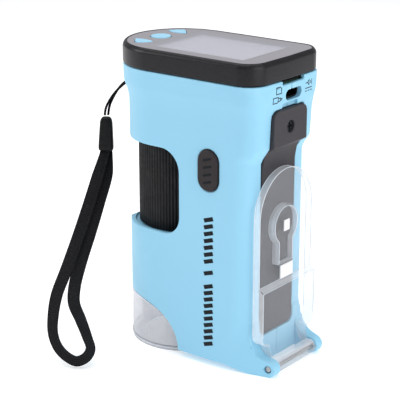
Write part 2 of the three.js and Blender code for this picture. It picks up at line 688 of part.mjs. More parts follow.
// The webbing keeps its flat side in one leaning plane, so its section is set from that plane
function strapWebbing() {
  const path = smoothPath(WEBBING_ROUTE);
  const steps = 56;
  const across = STRAP.width / 2;
  const deep = STRAP.thickness / 2;
  const edge = 0.25;
  const flat = across - 0.4;
  const section = [
    [across, -edge], [across, edge], [flat, deep], [-flat, deep],
    [-across, edge], [-across, -edge], [-flat, -deep], [flat, -deep],
  ];
  const vertices = [];
  for (let step = 0; step <= steps; step += 1) {
    const centre = path.getPointAt(step / steps);
    const along = path.getTangentAt(step / steps);
    const side = new THREE.Vector3().crossVectors(STRAP.face, along).normalize();
    const face = new THREE.Vector3().crossVectors(along, side);
    section.forEach(([a, b]) => {
      vertices.push(...centre.clone().addScaledVector(side, a).addScaledVector(face, b));
    });
  }
  const count = section.length;
  const faces = [];
  for (let step = 0; step < steps; step += 1) {
    for (let corner = 0; corner < count; corner += 1) {
      const a = step * count + corner;
      const b = step * count + ((corner + 1) % count);
      faces.push(a, b, b + count, a, b + count, a + count);
    }
  }
  const last = steps * count;
  for (let corner = 1; corner < count - 1; corner += 1) {
    faces.push(0, corner + 1, corner, last, last + corner, last + corner + 1);
  }
  const geometry = new THREE.BufferGeometry();
  geometry.setAttribute('position', new THREE.Float32BufferAttribute(vertices, 3));
  geometry.setIndex(faces);
  return geometry;
}

// Assembly
const object = new THREE.Group();

function add(name, shape, look) {
  const geometry = shape.isBufferGeometry ? bare(shape) : geometryOf(shape);
  const mesh = new THREE.Mesh(geometry, new THREE.MeshStandardMaterial(look));
  mesh.name = name;
  object.add(mesh);
  return mesh;
}

add('front_shell', bodyHalf(-1), BLUE);
add('rear_shell', bodyHalf(1), BLUE);
add('top_housing', topHousing(), BLACK);
add('display_window', displayWindow(), GLASS);
add('lcd_module', box(LCD.from, LCD.to, -LCD.half, LCD.half, LCD.bottom, LCD.top), SCREEN);
['down_button', 'ok_button', 'up_button'].forEach((name, index) => {
  add(name, alongZ(keyOutlines(0)[index], KEYS.bottom, KEYS.top), BLUE);
  const y = (index - 1) * KEYS.pitch;
  const half = KEYS.switchHalf;
  add(`${name}_switch`, box(KEYS.x - half, KEYS.x + half, y - half, y + half, 106.1, 108), STEEL);
});
add('key_board', box(-26.5, -18.4, -13, 13, 104.9, 106.05), BOARD);
add('main_board', cut(box(-22, 31.4, -15.5, 15.5, 101.7, 102.9), rod(OPTIC_X, 0, 7, 100, 104)), BOARD);
add('usb_port', cut(
  alongX(socketOutline(0.4), 25.8, 32.6),
  alongX(socketOutline(0.75), 27.5, 34),
), STEEL);
add('card_slot', cut(
  box(18.5, 31.7, CARD.y - CARD.half, CARD.y + CARD.half, CARD.bottom, CARD.top),
  box(20, 33, CARD.y - CARD.half + 1.1, CARD.y + CARD.half - 1.1, CARD.bottom + 0.55, CARD.top - 0.5),
), STEEL);

const modeOutline = slot(MODE.x, MODE.z, MODE.radius, MODE.straight);
add('mode_button', alongY(modeOutline, -HALF - MODE.proud, -17.5), RUBBER);
add('mode_board', box(7.4, 20.4, -14.7, -13.5, 64, 82), BOARD);
add('mode_switch', box(MODE.x - 3, MODE.x + 3, -16.4, -14.75, MODE.z - 3, MODE.z + 3), STEEL);

add('focus_grip', ring(DRUM.radius, DRUM.gripBore, DRUM.bottom, DRUM.top), RUBBER);
add('focus_cam_hub', focusCamHub(), WHITE);
add('guide_tube', guideTube(), BLACK);
add('lens_carrier', lensCarrier(), BLACK);
add('objective_lens', objectiveLens(), CLEAR);
add('camera_board', rod(OPTIC_X, 0, 6.5, 66, 67.2, 24), BOARD);
add('image_sensor', box(OPTIC_X - 2.6, OPTIC_X + 2.6, -2.6, 2.6, 64.9, 65.95), BLACK);
add('led_board', ring(15.6, 9.2, 22.8, 24), BOARD);
for (let index = 0; index < LED_COUNT; index += 1) {
  const angle = (2 * Math.PI * (index + 0.5)) / LED_COUNT;
  const led = rod(OPTIC_X + LED_CIRCLE * Math.cos(angle), LED_CIRCLE * Math.sin(angle), 1.4, 21, 22.75, 12);
  add(`led_${index + 1}`, led, WHITE);
}
add('clear_hood', clearHood(), CLEAR);

add('battery_tray', batteryTray(), BLACK);
add('battery_cell', rod(CELL.x, 0, CELL.radius, 16, 66.5, 32), CELL_WRAP);
add('battery_spring', rod(CELL.x, 0, CELL.contact, 14.3, 15.8, 16), STEEL);
add('battery_contact', rod(CELL.x, 0, CELL.contact, 66.8, 68.2, 16), STEEL);
add('battery_cover', batteryCover(), BLACK);
const coverScrew = add('cover_screw', flatHead(1.9, 1.3, 1, 8), STEEL);
coverScrew.rotation.z = -Math.PI / 2;
coverScrew.position.set(COVER_SCREW.headX, 0, COVER_SCREW.z);
SHELL_SCREWS.forEach(([x, z], index) => {
  add(`shell_screw_${index + 1}`, flatHead(2, 1.6, 0.95, 16), STEEL).position.set(x, 13.7, z);
});

add('slide_stage', slideStage(), CLEAR);
add('slide_tongue', alongX(keyhole(0), TONGUE.back, PLATE.thin, 12), CLEAR);
const faceX = PLATE.thin + 0.02;
add('specimen_spot', box(
  faceX, faceX + SPOT.thick, -SPOT.halfWidth, SPOT.halfWidth, SPOT.bottom, SPOT.top,
), WHITE);
add('tongue_clamp', box(faceX, faceX + CLAMP.thick, -CLAMP.half, CLAMP.half, CLAMP.bottom, CLAMP.top), WHITE);
add('hinge_pin', crossRod(LUG_AXIS_X, LUG_AXIS_Z, PIN_RADIUS, -15.2, 15.2, 20), STEEL);

const postReach = POST.half - 0.1;
add('strap_post', rod(postX, postY, POST.radius, POST.z - postReach, POST.z + postReach, 12), STEEL);
add('strap_cord', strapCord(), WEBBING);
add('strap_bead', strapBead(), RUBBER);
add('strap_webbing', strapWebbing(), WEBBING);

// The working frame's origin is moved to the middle of the foot print
const NOSE_TIP = -HOUSING_LENGTH / 2;
const LUG_TIP = LUG_AXIS_X + LUG_RADIUS;
object.position.x = -(NOSE_TIP + LUG_TIP) / 2;

export default object;
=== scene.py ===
import math

import bmesh
import bpy
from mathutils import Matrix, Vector
from mathutils.bvhtree import BVHTree


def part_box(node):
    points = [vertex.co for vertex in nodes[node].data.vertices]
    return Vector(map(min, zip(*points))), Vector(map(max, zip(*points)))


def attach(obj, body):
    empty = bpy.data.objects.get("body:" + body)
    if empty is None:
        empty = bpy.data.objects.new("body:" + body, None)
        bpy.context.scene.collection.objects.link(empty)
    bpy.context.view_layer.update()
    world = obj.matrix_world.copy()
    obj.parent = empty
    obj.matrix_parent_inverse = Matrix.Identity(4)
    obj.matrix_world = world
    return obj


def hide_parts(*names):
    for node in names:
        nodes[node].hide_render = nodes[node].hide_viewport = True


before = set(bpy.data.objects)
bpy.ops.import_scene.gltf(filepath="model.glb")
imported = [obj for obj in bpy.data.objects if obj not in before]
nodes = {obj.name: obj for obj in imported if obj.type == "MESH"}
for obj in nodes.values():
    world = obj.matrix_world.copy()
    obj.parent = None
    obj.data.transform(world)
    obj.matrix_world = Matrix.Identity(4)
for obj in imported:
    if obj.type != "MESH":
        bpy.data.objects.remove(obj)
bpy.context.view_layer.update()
mm = 0.001
print("frame loaded:", len(nodes), "solids")

# camera and light
camera = {"place": (0.28637, -0.38190, 0.21148), "lookAt": (-0.01546, 0.00992, 0.04941), "lens": 124.6}
studio = {
    "skyColour": (0.93, 0.95, 1.0), "skyStrength": 0.4, "floorGlow": 0.28,
    "floorSize": 3.0,
    "floorLook": {"colour": (0.97, 0.97, 0.965), "shade": (0.97, 0.97, 0.965), "roughness": (0.75, 0.85)},
    "panels": (
        {"name": "overheadPanel", "place": (-0.1, 0.05, 0.75), "size": 0.9, "power": 5.2},
        {"name": "frontPanel", "place": (-0.75, -0.55, 0.4), "size": 0.4, "power": 2.6},
        {"name": "endPanel", "place": (0.75, -0.1, 0.3), "size": 0.6, "power": 2.9},
    ),
}


def aimAt(item, target):
    item.rotation_euler = (Vector(target) - item.location).to_track_quat("-Z", "Y").to_euler()


def addCamera(settings):
    data = bpy.data.cameras.new("studioCamera")
    data.lens = settings["lens"]
    data.sensor_width = 36
    data.clip_start = 0.01
    item = bpy.data.objects.new("studioCamera", data)
    bpy.context.scene.collection.objects.link(item)
    item.location = settings["place"]
    aimAt(item, settings["lookAt"])
    bpy.context.scene.camera = item


def addPanel(settings, target):
    data = bpy.data.lights.new(settings["name"], "AREA")
    data.size = settings["size"]
    data.energy = settings["power"]
    item = bpy.data.objects.new(settings["name"], data)
    bpy.context.scene.collection.objects.link(item)
    item.location = settings["place"]
    aimAt(item, target)


addCamera(camera)
bpy.context.scene.view_settings.view_transform = "Standard"
for panel in studio["panels"]:
    addPanel(panel, (0, 0, 0.05))
world = bpy.data.worlds.new("softRoom")
bpy.context.scene.world = world
world.use_nodes = True
sky = world.node_tree.nodes["Background"]
sky.inputs["Color"].default_value = (*studio["skyColour"], 1)
sky.inputs["Strength"].default_value = studio["skyStrength"]
print("camera and light placed")


# mesh helpers
def newPiece(name, mesh, material=None):
    item = bpy.data.objects.new(name, mesh)
    bpy.context.scene.collection.objects.link(item)
    if material:
        mesh.materials.clear()
        mesh.materials.append(material)
    return item


def meshFrom(name, points, faces, smooth=True):
    mesh = bpy.data.meshes.new(name)
    mesh.from_pydata([tuple(p) for p in points], [], faces)
    mesh.validate()
    for face in mesh.polygons:
        face.use_smooth = smooth
    return mesh


def softEdges(mesh, angle):
    # smooth faces, with a crease left wherever two of them meet at more than the angle
    work = bmesh.new()
    work.from_mesh(mesh)
    bmesh.ops.recalc_face_normals(work, faces=work.faces)
    for face in work.faces:
        face.smooth = True
    for edge in work.edges:
        edge.smooth = edge.calc_face_angle(0) < angle
    work.to_mesh(mesh)
    work.free()


def settle(item):
    # the modifiers' result becomes the piece's own mesh
    bpy.context.view_layer.update()
    built = bpy.data.meshes.new_from_object(item.evaluated_get(bpy.context.evaluated_depsgraph_get()))
    item.modifiers.clear()
    item.data = built
    return item


def routeLength(route):
    return sum((b - a).length for a, b in zip(route, route[1:]))


def smoothRoute(points, perSpan):
    points = [Vector(p) for p in points]
    ends = [points[0] * 2 - points[1], *points, points[-1] * 2 - points[-2]]
    route = []
    for a, b, c, d in zip(ends, ends[1:], ends[2:], ends[3:]):
        before, between, after = ((q - p).length ** 0.5 for p, q in ((a, b), (b, c), (c, d)))
        leave = ((b - a) / before - (c - a) / (before + between) + (c - b) / between) * between
        arrive = ((c - b) / between - (d - b) / (between + after) + (d - c) / after) * between
        for step in range(perSpan):
            t = step / perSpan
            route.append(
                b * (2 * t ** 3 - 3 * t ** 2 + 1) + c * (3 * t ** 2 - 2 * t ** 3)
                + leave * (t ** 3 - 2 * t ** 2 + t) + arrive * (t ** 3 - t ** 2)
            )
    return route + [points[-1]]


def ringFaces(rows, count, closed=False):
    # squares between neighbouring rings of points; the rings close into a loop, or both ends get a cap
    faces = []
    for row in range(rows if closed else rows - 1):
        here, above = row * count, (row + 1) % rows * count
        for k in range(count):
            after = (k + 1) % count
            faces.append((here + k, here + after, above + after, above + k))
    if not closed:
        faces.append(tuple(range(count))[::-1])
        faces.append(tuple(range((rows - 1) * count, rows * count)))
    return faces


def sweep(name, route, section, face=None):
    # section(distance) gives the outline's (side, out) offsets there; the UV map holds (distance, side) in mm
    points, uvs = [], []
    distance, side = 0.0, Vector((0, 0, 1))
    for index, centre in enumerate(route):
        along = (route[min(index + 1, len(route) - 1)] - route[max(index - 1, 0)]).normalized()
        if index:
            distance += (centre - route[index - 1]).length
        side = face.cross(along).normalized() if face else (side - along * side.dot(along)).normalized()
        out = along.cross(side)
        ring = section(distance)
        points += [centre + side * u + out * v for u, v in ring]
        uvs += [(distance * 1000, u * 1000) for u, v in ring]
    mesh = meshFrom(name, points, ringFaces(len(route), len(ring)))
    layer = mesh.uv_layers.new(name="along")
    for loop in mesh.loops:
        layer.data[loop.index].uv = uvs[loop.vertex_index]
    softEdges(mesh, math.radians(50))
    return mesh


def cleanSolid(node):
    work = bmesh.new()
    work.from_mesh(nodes[node].data)
    bmesh.ops.remove_doubles(work, verts=work.verts, dist=0.002 * mm)
    bmesh.ops.dissolve_limit(work, angle_limit=math.radians(0.4), verts=work.verts, edges=work.edges)
    return work


def weighCorners(work, edge, limit):
    # only corners with room for the rounding get it
    weights = work.edges.layers.float.new("bevel_weight_edge")
    roomy = {v for v in work.verts if all(e.calc_length() > 1.2 * edge for e in v.link_edges)}
    for line in work.edges:
        turned = line.calc_face_angle(0) > limit
        line[weights] = 1.0 if turned and all(v in roomy for v in line.verts) else 0.0


def pullIn(mesh, source, node, reach):
    # no point of the rounding leaves the solid it was made from
    low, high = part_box(node)
    for point in mesh.vertices:
        near, _, _, gap = source.find_nearest(point.co)
        spot = near if gap > reach else point.co
        point.co = [min(max(c, a), b) for c, a, b in zip(spot, low, high)]


def refined(node, name, body, material, edge=0.3 * mm, segments=2, angle=28):
    # the solid's own shape with its flat faces merged and every corner rounded off
    work = cleanSolid(node)
    source = BVHTree.FromBMesh(work)
    weighCorners(work, edge, math.radians(angle))
    mesh = bpy.data.meshes.new(name)
    work.to_mesh(mesh)
    work.free()
    item = newPiece(name, mesh, material)
    softEdges(mesh, math.radians(angle))
    bevel = item.modifiers.new("rounding", "BEVEL")
    bevel.width = edge
    bevel.segments = segments
    bevel.limit_method = "WEIGHT"
    bevel.use_clamp_overlap = False
    weighted = item.modifiers.new("evenShade", "WEIGHTED_NORMAL")
    weighted.keep_sharp = True
    settle(item)
    pullIn(item.data, source, node, edge * 0.7)
    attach(item, body)
    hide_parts(node)
    return item


# shader groups
def newGroup(name, inputs, outputs):
    tree = bpy.data.node_groups.new(name, "ShaderNodeTree")
    for label, kind, value in inputs:
        socket = tree.interface.new_socket(name=label, in_out="INPUT", socket_type=kind)
        socket.default_value = value
    for label, kind in outputs:
        tree.interface.new_socket(name=label, in_out="OUTPUT", socket_type=kind)
    return tree, tree.nodes.new("NodeGroupInput"), tree.nodes.new("NodeGroupOutput")


def addNode(tree, kind, **settings):
    node = tree.nodes.new(kind)
    for key, value in settings.items():
        setattr(node, key, value)
    return node


def sumNode(tree, operation, first, second=None, third=None, clamp=False):
    node = addNode(tree, "ShaderNodeMath", operation=operation, use_clamp=clamp)
    for socket, value in zip(node.inputs, (first, second, third)):
        if value is None:
            continue
        if isinstance(value, (int, float)):
            socket.default_value = value
        else:
            tree.links.new(value, socket)
    return node.outputs[0]


def mixColours(tree, factor, first, second):
    node = addNode(tree, "ShaderNodeMix", data_type="RGBA")
    for socket, value in ((node.inputs[0], factor), (node.inputs[6], first), (node.inputs[7], second)):
        if isinstance(value, (int, float)):
            socket.default_value = value
        elif isinstance(value, tuple):
            socket.default_value = (*value, 1)
        else:
            tree.links.new(value, socket)
    return node.outputs[2]


def noiseNode(tree, spot, scale, detail=2.0):
    node = addNode(tree, "ShaderNodeTexNoise")
    node.inputs["Detail"].default_value = detail
    tree.links.new(spot, node.inputs["Vector"])
    tree.links.new(scale, node.inputs["Scale"])
    return node.outputs["Fac"]


number, colour = "NodeSocketFloat", "NodeSocketColor"


def buildMouldedSkin():
    # slow colour drift and the fine spark-eroded grain of moulded plastic
    tree, given, made = newGroup(
        "mouldedSkin",
        (("Colour", colour, (1, 1, 1, 1)), ("Shade", colour, (0.8, 0.8, 0.8, 1)),
         ("Drift Scale", number, 25.0), ("Grain Scale", number, 2600.0),
         ("Low Roughness", number, 0.4), ("High Roughness", number, 0.5)),
        (("Colour", colour), ("Roughness", number), ("Height", number)),
    )
    spot = addNode(tree, "ShaderNodeTexCoord").outputs["Object"]
    drift = noiseNode(tree, spot, given.outputs["Drift Scale"], 3.0)
    grain = noiseNode(tree, spot, given.outputs["Grain Scale"])
    patches = noiseNode(tree, spot, sumNode(tree, "MULTIPLY", given.outputs["Drift Scale"], 9.0), 4.0)
    spread = sumNode(tree, "MULTIPLY_ADD", drift, 2.2, -0.6, clamp=True)
    tint = mixColours(tree, spread, given.outputs["Colour"], given.outputs["Shade"])
    tree.links.new(tint, made.inputs["Colour"])
    gap = sumNode(tree, "SUBTRACT", given.outputs["High Roughness"], given.outputs["Low Roughness"])
    rough = sumNode(tree, "MULTIPLY_ADD", patches, gap, given.outputs["Low Roughness"])
    tree.links.new(rough, made.inputs["Roughness"])
    tree.links.new(grain, made.inputs["Height"])
    return tree


def buildEdgeWear():
    # a mask along convex corners, broken up by noise
    tree, given, made = newGroup(
        "edgeWear",
        (("Amount", number, 0.5), ("Patch Scale", number, 220.0)),
        (("Mask", number),),
    )
    spot = addNode(tree, "ShaderNodeTexCoord").outputs["Object"]
    shape = addNode(tree, "ShaderNodeNewGeometry").outputs["Pointiness"]
    noise = noiseNode(tree, spot, given.outputs["Patch Scale"], 5.0)
    ridge = sumNode(tree, "MULTIPLY_ADD", shape, 14.0, -7.4, clamp=True)
    broken = sumNode(tree, "MULTIPLY_ADD", noise, 5.0, -2.2, clamp=True)
    patchy = sumNode(tree, "MULTIPLY", ridge, broken)
    mask = sumNode(tree, "MULTIPLY", patchy, given.outputs["Amount"], clamp=True)
    tree.links.new(mask, made.inputs["Mask"])
    return tree


def buildSettledDust():
    # fine dust on the faces that look up
    tree, given, made = newGroup(
        "settledDust",
        (("Amount", number, 0.1), ("Speck Scale", number, 900.0)),
        (("Mask", number),),
    )
    spot = addNode(tree, "ShaderNodeTexCoord").outputs["Object"]
    facing = addNode(tree, "ShaderNodeSeparateXYZ")
    tree.links.new(addNode(tree, "ShaderNodeNewGeometry").outputs["Normal"], facing.inputs[0])
    noise = noiseNode(tree, spot, given.outputs["Speck Scale"], 6.0)
    level = sumNode(tree, "MULTIPLY_ADD", facing.outputs["Z"], 0.7, 0.3, clamp=True)
    specks = sumNode(tree, "MULTIPLY_ADD", noise, 3.0, -1.2, clamp=True)
    settled = sumNode(tree, "MULTIPLY", level, specks)
    mask = sumNode(tree, "MULTIPLY", settled, given.outputs["Amount"], clamp=True)
    tree.links.new(mask, made.inputs["Mask"])
    return tree


def buildWovenBand():
    # a basket weave laid out on the band's own length and width; its Shade output marks the valleys between
    # the threads for painted shade
    tree, given, made = newGroup(
        "wovenBand",
        (("Along Pitch", number, 0.9), ("Across Pitch", number, 0.7)),
        (("Height", number), ("Shade", number)),
    )
    split = addNode(tree, "ShaderNodeSeparateXYZ")
    tree.links.new(addNode(tree, "ShaderNodeUVMap", uv_map="along").outputs[0], split.inputs[0])
    turn = 2 * math.pi
    u = sumNode(tree, "DIVIDE", split.outputs["X"], given.outputs["Along Pitch"])
    v = sumNode(tree, "DIVIDE", split.outputs["Y"], given.outputs["Across Pitch"])
    lean = sumNode(tree, "SINE", sumNode(tree, "MULTIPLY", sumNode(tree, "ADD", u, v), turn))
    rise = sumNode(tree, "SINE", sumNode(tree, "MULTIPLY", sumNode(tree, "SUBTRACT", u, v), turn))
    crossing = sumNode(tree, "MULTIPLY_ADD", sumNode(tree, "MULTIPLY", lean, rise), 0.5, 0.5)
    thread = sumNode(tree, "ABSOLUTE", sumNode(tree, "SINE", sumNode(tree, "MULTIPLY", u, turn * 2)))
    height = sumNode(tree, "MULTIPLY_ADD", thread, 0.35, sumNode(tree, "MULTIPLY", crossing, 0.65))
    tree.links.new(height, made.inputs["Height"])
    tree.links.new(crossing, made.inputs["Shade"])
    return tree


def buildPanelMask():
    # 1 inside an upright rectangle seen from above, falling to 0 over the softness
    tree, given, made = newGroup(
        "panelMask",
        (("Centre X", number, 0.0), ("Half X", number, 0.02), ("Half Y", number, 0.015),
         ("Softness", number, 0.0002)),
        (("Mask", number),),
    )
    split = addNode(tree, "ShaderNodeSeparateXYZ")
    tree.links.new(addNode(tree, "ShaderNodeTexCoord").outputs["Object"], split.inputs[0])
    parts = []
    for axis, centre, half in (("X", "Centre X", "Half X"), ("Y", None, "Half Y")):
        offset = split.outputs[axis]
        if centre:
            offset = sumNode(tree, "SUBTRACT", offset, given.outputs[centre])
        room = sumNode(tree, "SUBTRACT", given.outputs[half], sumNode(tree, "ABSOLUTE", offset))
        parts.append(sumNode(tree, "DIVIDE", room, given.outputs["Softness"], clamp=True))
    tree.links.new(sumNode(tree, "MULTIPLY", *parts, clamp=True), made.inputs["Mask"])
    return tree


def buildClearVeilAndEdgeHighlight():
    # how milky a clear moulding looks: faint on its open faces, strong on its cut edges, where its Edge
    # output also drives a painted highlight
    tree, given, made = newGroup(
        "clearVeilAndEdgeHighlight",
        (("Axis", "NodeSocketVector", (1, 0, 0)), ("Slope", number, -3.0), ("Base", number, 2.4),
         ("Face Alpha", number, 0.1), ("Edge Alpha", number, 0.7), ("Cloud Scale", number, 300.0)),
        (("Edge", number), ("Alpha", number)),
    )
    source = addNode(tree, "ShaderNodeTexCoord")
    along = addNode(tree, "ShaderNodeVectorMath", operation="DOT_PRODUCT")
    tree.links.new(source.outputs["Normal"], along.inputs[0])
    tree.links.new(given.outputs["Axis"], along.inputs[1])
    facing = sumNode(tree, "ABSOLUTE", along.outputs["Value"])
    edge = sumNode(tree, "MULTIPLY_ADD", facing, given.outputs["Slope"], given.outputs["Base"], clamp=True)
    cloud = noiseNode(tree, source.outputs["Object"], given.outputs["Cloud Scale"])
    gap = sumNode(tree, "SUBTRACT", given.outputs["Edge Alpha"], given.outputs["Face Alpha"])
    alpha = sumNode(tree, "MULTIPLY_ADD", edge, gap, given.outputs["Face Alpha"])
    uneven = sumNode(tree, "MULTIPLY_ADD", cloud, 0.3, 0.85)
    tree.links.new(sumNode(tree, "MULTIPLY", alpha, uneven, clamp=True), made.inputs["Alpha"])
    tree.links.new(edge, made.inputs["Edge"])
    return tree


groups = {
    "veil": buildClearVeilAndEdgeHighlight(),
    "skin": buildMouldedSkin(), "wear": buildEdgeWear(), "dust": buildSettledDust(),
    "weave": buildWovenBand(), "panel": buildPanelMask(),
}
print("shader groups built:", len(groups))


# finishes
def newFinish(name):
    material = bpy.data.materials.new(name)
    material.use_nodes = True
    return material, material.node_tree, material.node_tree.nodes["Principled BSDF"]


def place(tree, group, **values):
    node = addNode(tree, "ShaderNodeGroup", node_tree=groups[group])
    for key, value in values.items():
        label = "".join(" " + c if c.isupper() else c for c in key).strip().title()
        node.inputs[label].default_value = (*value, 1) if isinstance(value, tuple) else value
    return node


def bump(tree, shader, height, distance, strength=1.0):
    node = addNode(tree, "ShaderNodeBump")
    node.inputs["Strength"].default_value = strength
    node.inputs["Distance"].default_value = distance
    tree.links.new(height, node.inputs["Height"])
    tree.links.new(node.outputs[0], shader.inputs["Normal"])


def placeSkin(tree, look, driftScale, grainScale):
    low, high = look["roughness"]
    return place(tree, "skin", colour=look["colour"], shade=look["shade"], driftScale=driftScale,
                 grainScale=grainScale, lowRoughness=low, highRoughness=high)


def mouldedFinish(name, look):
    material, tree, shader = newFinish(name)
    skin = placeSkin(tree, look, look.get("driftScale", 25.0), look["grainScale"])
    wear = place(tree, "wear", amount=look["wear"])
    dust = place(tree, "dust", amount=look["dust"])
    worn = mixColours(tree, wear.outputs["Mask"], skin.outputs["Colour"], look["wornColour"])
    dusty = mixColours(tree, dust.outputs["Mask"], worn, (0.6, 0.59, 0.57))
    tree.links.new(dusty, shader.inputs["Base Color"])
    tree.links.new(skin.outputs["Roughness"], shader.inputs["Roughness"])
    shader.inputs["Specular IOR Level"].default_value = look.get("specular", 0.5)
    shader.inputs["Subsurface Weight"].default_value = 0
    bump(tree, shader, skin.outputs["Height"], look["grainDepth"])
    return material


def clearFinish(name, look):
    material, tree, shader = newFinish(name)
    skin = placeSkin(tree, look, 40.0, look["grainScale"])
    tree.links.new(skin.outputs["Colour"], shader.inputs["Base Color"])
    tree.links.new(skin.outputs["Roughness"], shader.inputs["Roughness"])
    shader.inputs["IOR"].default_value = look["bend"]
    shader.inputs["Transmission Weight"].default_value = 1
    bump(tree, shader, skin.outputs["Height"], look["grainDepth"])
    # lamps shine through it, so what lies behind isn't in hard shadow
    letThrough = addNode(tree, "ShaderNodeBsdfTransparent")
    letThrough.inputs["Color"].default_value = (0.9, 0.92, 0.94, 1)
    mix = addNode(tree, "ShaderNodeMixShader")
    tree.links.new(addNode(tree, "ShaderNodeLightPath").outputs["Is Shadow Ray"], mix.inputs[0])
    tree.links.new(shader.outputs[0], mix.inputs[1])
    tree.links.new(letThrough.outputs[0], mix.inputs[2])
    tree.links.new(mix.outputs[0], tree.nodes["Material Output"].inputs["Surface"])
    return material


def veiledHighlightedFinish(name, look):
    material, tree, shader = newFinish(name)
    skin = placeSkin(tree, look, 40.0, 400.0)
    veil = place(tree, "veil", slope=look["slope"], base=look["base"], faceAlpha=look["alpha"][0],
                 edgeAlpha=look["alpha"][1])
    veil.inputs["Axis"].default_value = look["axis"]
    # painted highlight: the edge-on faces lean to a whiter colour
    edgeHighlighted = mixColours(tree, veil.outputs["Edge"], skin.outputs["Colour"], look["edgeHighlightColour"])
    tree.links.new(edgeHighlighted, shader.inputs["Base Color"])
    tree.links.new(skin.outputs["Roughness"], shader.inputs["Roughness"])
    # painted sheen: the moulding turns more opaque towards a glancing view
    glance = addNode(tree, "ShaderNodeLayerWeight").outputs["Facing"]
    gloss = sumNode(tree, "MULTIPLY", sumNode(tree, "POWER", glance, 3.0), look["gloss"])
    tree.links.new(sumNode(tree, "ADD", veil.outputs["Alpha"], gloss, clamp=True), shader.inputs["Alpha"])
    bump(tree, shader, skin.outputs["Height"], 0.002 * mm)
    return material


def metalFinish(name, look):
    material, tree, shader = newFinish(name)
    skin = placeSkin(tree, look, 120.0, look["grainScale"])
    tree.links.new(skin.outputs["Colour"], shader.inputs["Base Color"])
    tree.links.new(skin.outputs["Roughness"], shader.inputs["Roughness"])
    shader.inputs["Metallic"].default_value = 1
    bump(tree, shader, skin.outputs["Height"], look["grainDepth"])
    return material


def displayFinish(name, look):
    material, tree, shader = newFinish(name)
    skin = placeSkin(tree, look, 30.0, 500.0)
    inner, outer = (
        place(tree, "panel", centreX=look["centreX"], halfX=look["halfX"] + rim, halfY=look["halfY"] + rim,
              softness=look["softness"])
        for rim in (0.0, look["frame"])
    )
    # painted shade: a darker band round the picture area stands for the shade in the recess at the screen's
    # edge
    frameShaded = mixColours(tree, outer.outputs["Mask"], skin.outputs["Colour"], look["frameShadeColour"])
    lit = mixColours(tree, inner.outputs["Mask"], frameShaded, look["screen"])
    tree.links.new(lit, shader.inputs["Base Color"])
    # the print stops at the picture area, where only a painted sheen of the glass is left, more opaque
    # towards a glancing view
    glance = addNode(tree, "ShaderNodeLayerWeight").outputs["Facing"]
    gloss = sumNode(tree, "MULTIPLY_ADD", sumNode(tree, "POWER", glance, 4.0), 0.6, look["clearAlpha"])
    printed = sumNode(tree, "SUBTRACT", 1.0, inner.outputs["Mask"])
    tree.links.new(sumNode(tree, "ADD", printed, gloss, clamp=True), shader.inputs["Alpha"])
    tree.links.new(skin.outputs["Roughness"], shader.inputs["Roughness"])
    shader.inputs["Coat Weight"].default_value = 1
    shader.inputs["Coat Roughness"].default_value = 0.04
    shader.inputs["Coat IOR"].default_value = 1.52
    bump(tree, shader, skin.outputs["Height"], 0.002 * mm)
    return material


def wovenFinish(name, look):
    material, tree, shader = newFinish(name)
    weave = place(tree, "weave", alongPitch=look["alongPitch"], acrossPitch=look["acrossPitch"])
    skin = placeSkin(tree, look, 90.0, 6000.0)
    dust = place(tree, "dust", amount=look["dust"], speckScale=1500.0)
    # painted shade: the valleys between the threads take the near-black valley colour
    shadedThreads = mixColours(tree, weave.outputs["Shade"], look["valleyShade"], skin.outputs["Colour"])
    dusty = mixColours(tree, dust.outputs["Mask"], shadedThreads, (0.3, 0.3, 0.3))
    tree.links.new(dusty, shader.inputs["Base Color"])
    tree.links.new(skin.outputs["Roughness"], shader.inputs["Roughness"])
    shader.inputs["Specular IOR Level"].default_value = 0.06
    bump(tree, shader, weave.outputs["Height"], look["depth"])
    return material


def boardFinish(name, look):
    material, tree, shader = newFinish(name)
    spot = addNode(tree, "ShaderNodeTexCoord").outputs["Object"]
    tracks = addNode(tree, "ShaderNodeTexBrick")
    tree.links.new(spot, tracks.inputs["Vector"])
    tracks.inputs["Scale"].default_value = 180
    tracks.inputs["Mortar Size"].default_value = 0.03
    tracks.inputs["Color1"].default_value = (*look["mask"], 1)
    tracks.inputs["Color2"].default_value = (*look["maskShade"], 1)
    tracks.inputs["Mortar"].default_value = (*look["track"], 1)
    tree.links.new(tracks.outputs["Color"], shader.inputs["Base Color"])
    skin = place(tree, "skin", lowRoughness=0.3, highRoughness=0.45, grainScale=900.0)
    tree.links.new(skin.outputs["Roughness"], shader.inputs["Roughness"])
    bump(tree, shader, tracks.outputs["Fac"], 0.02 * mm)
    return material


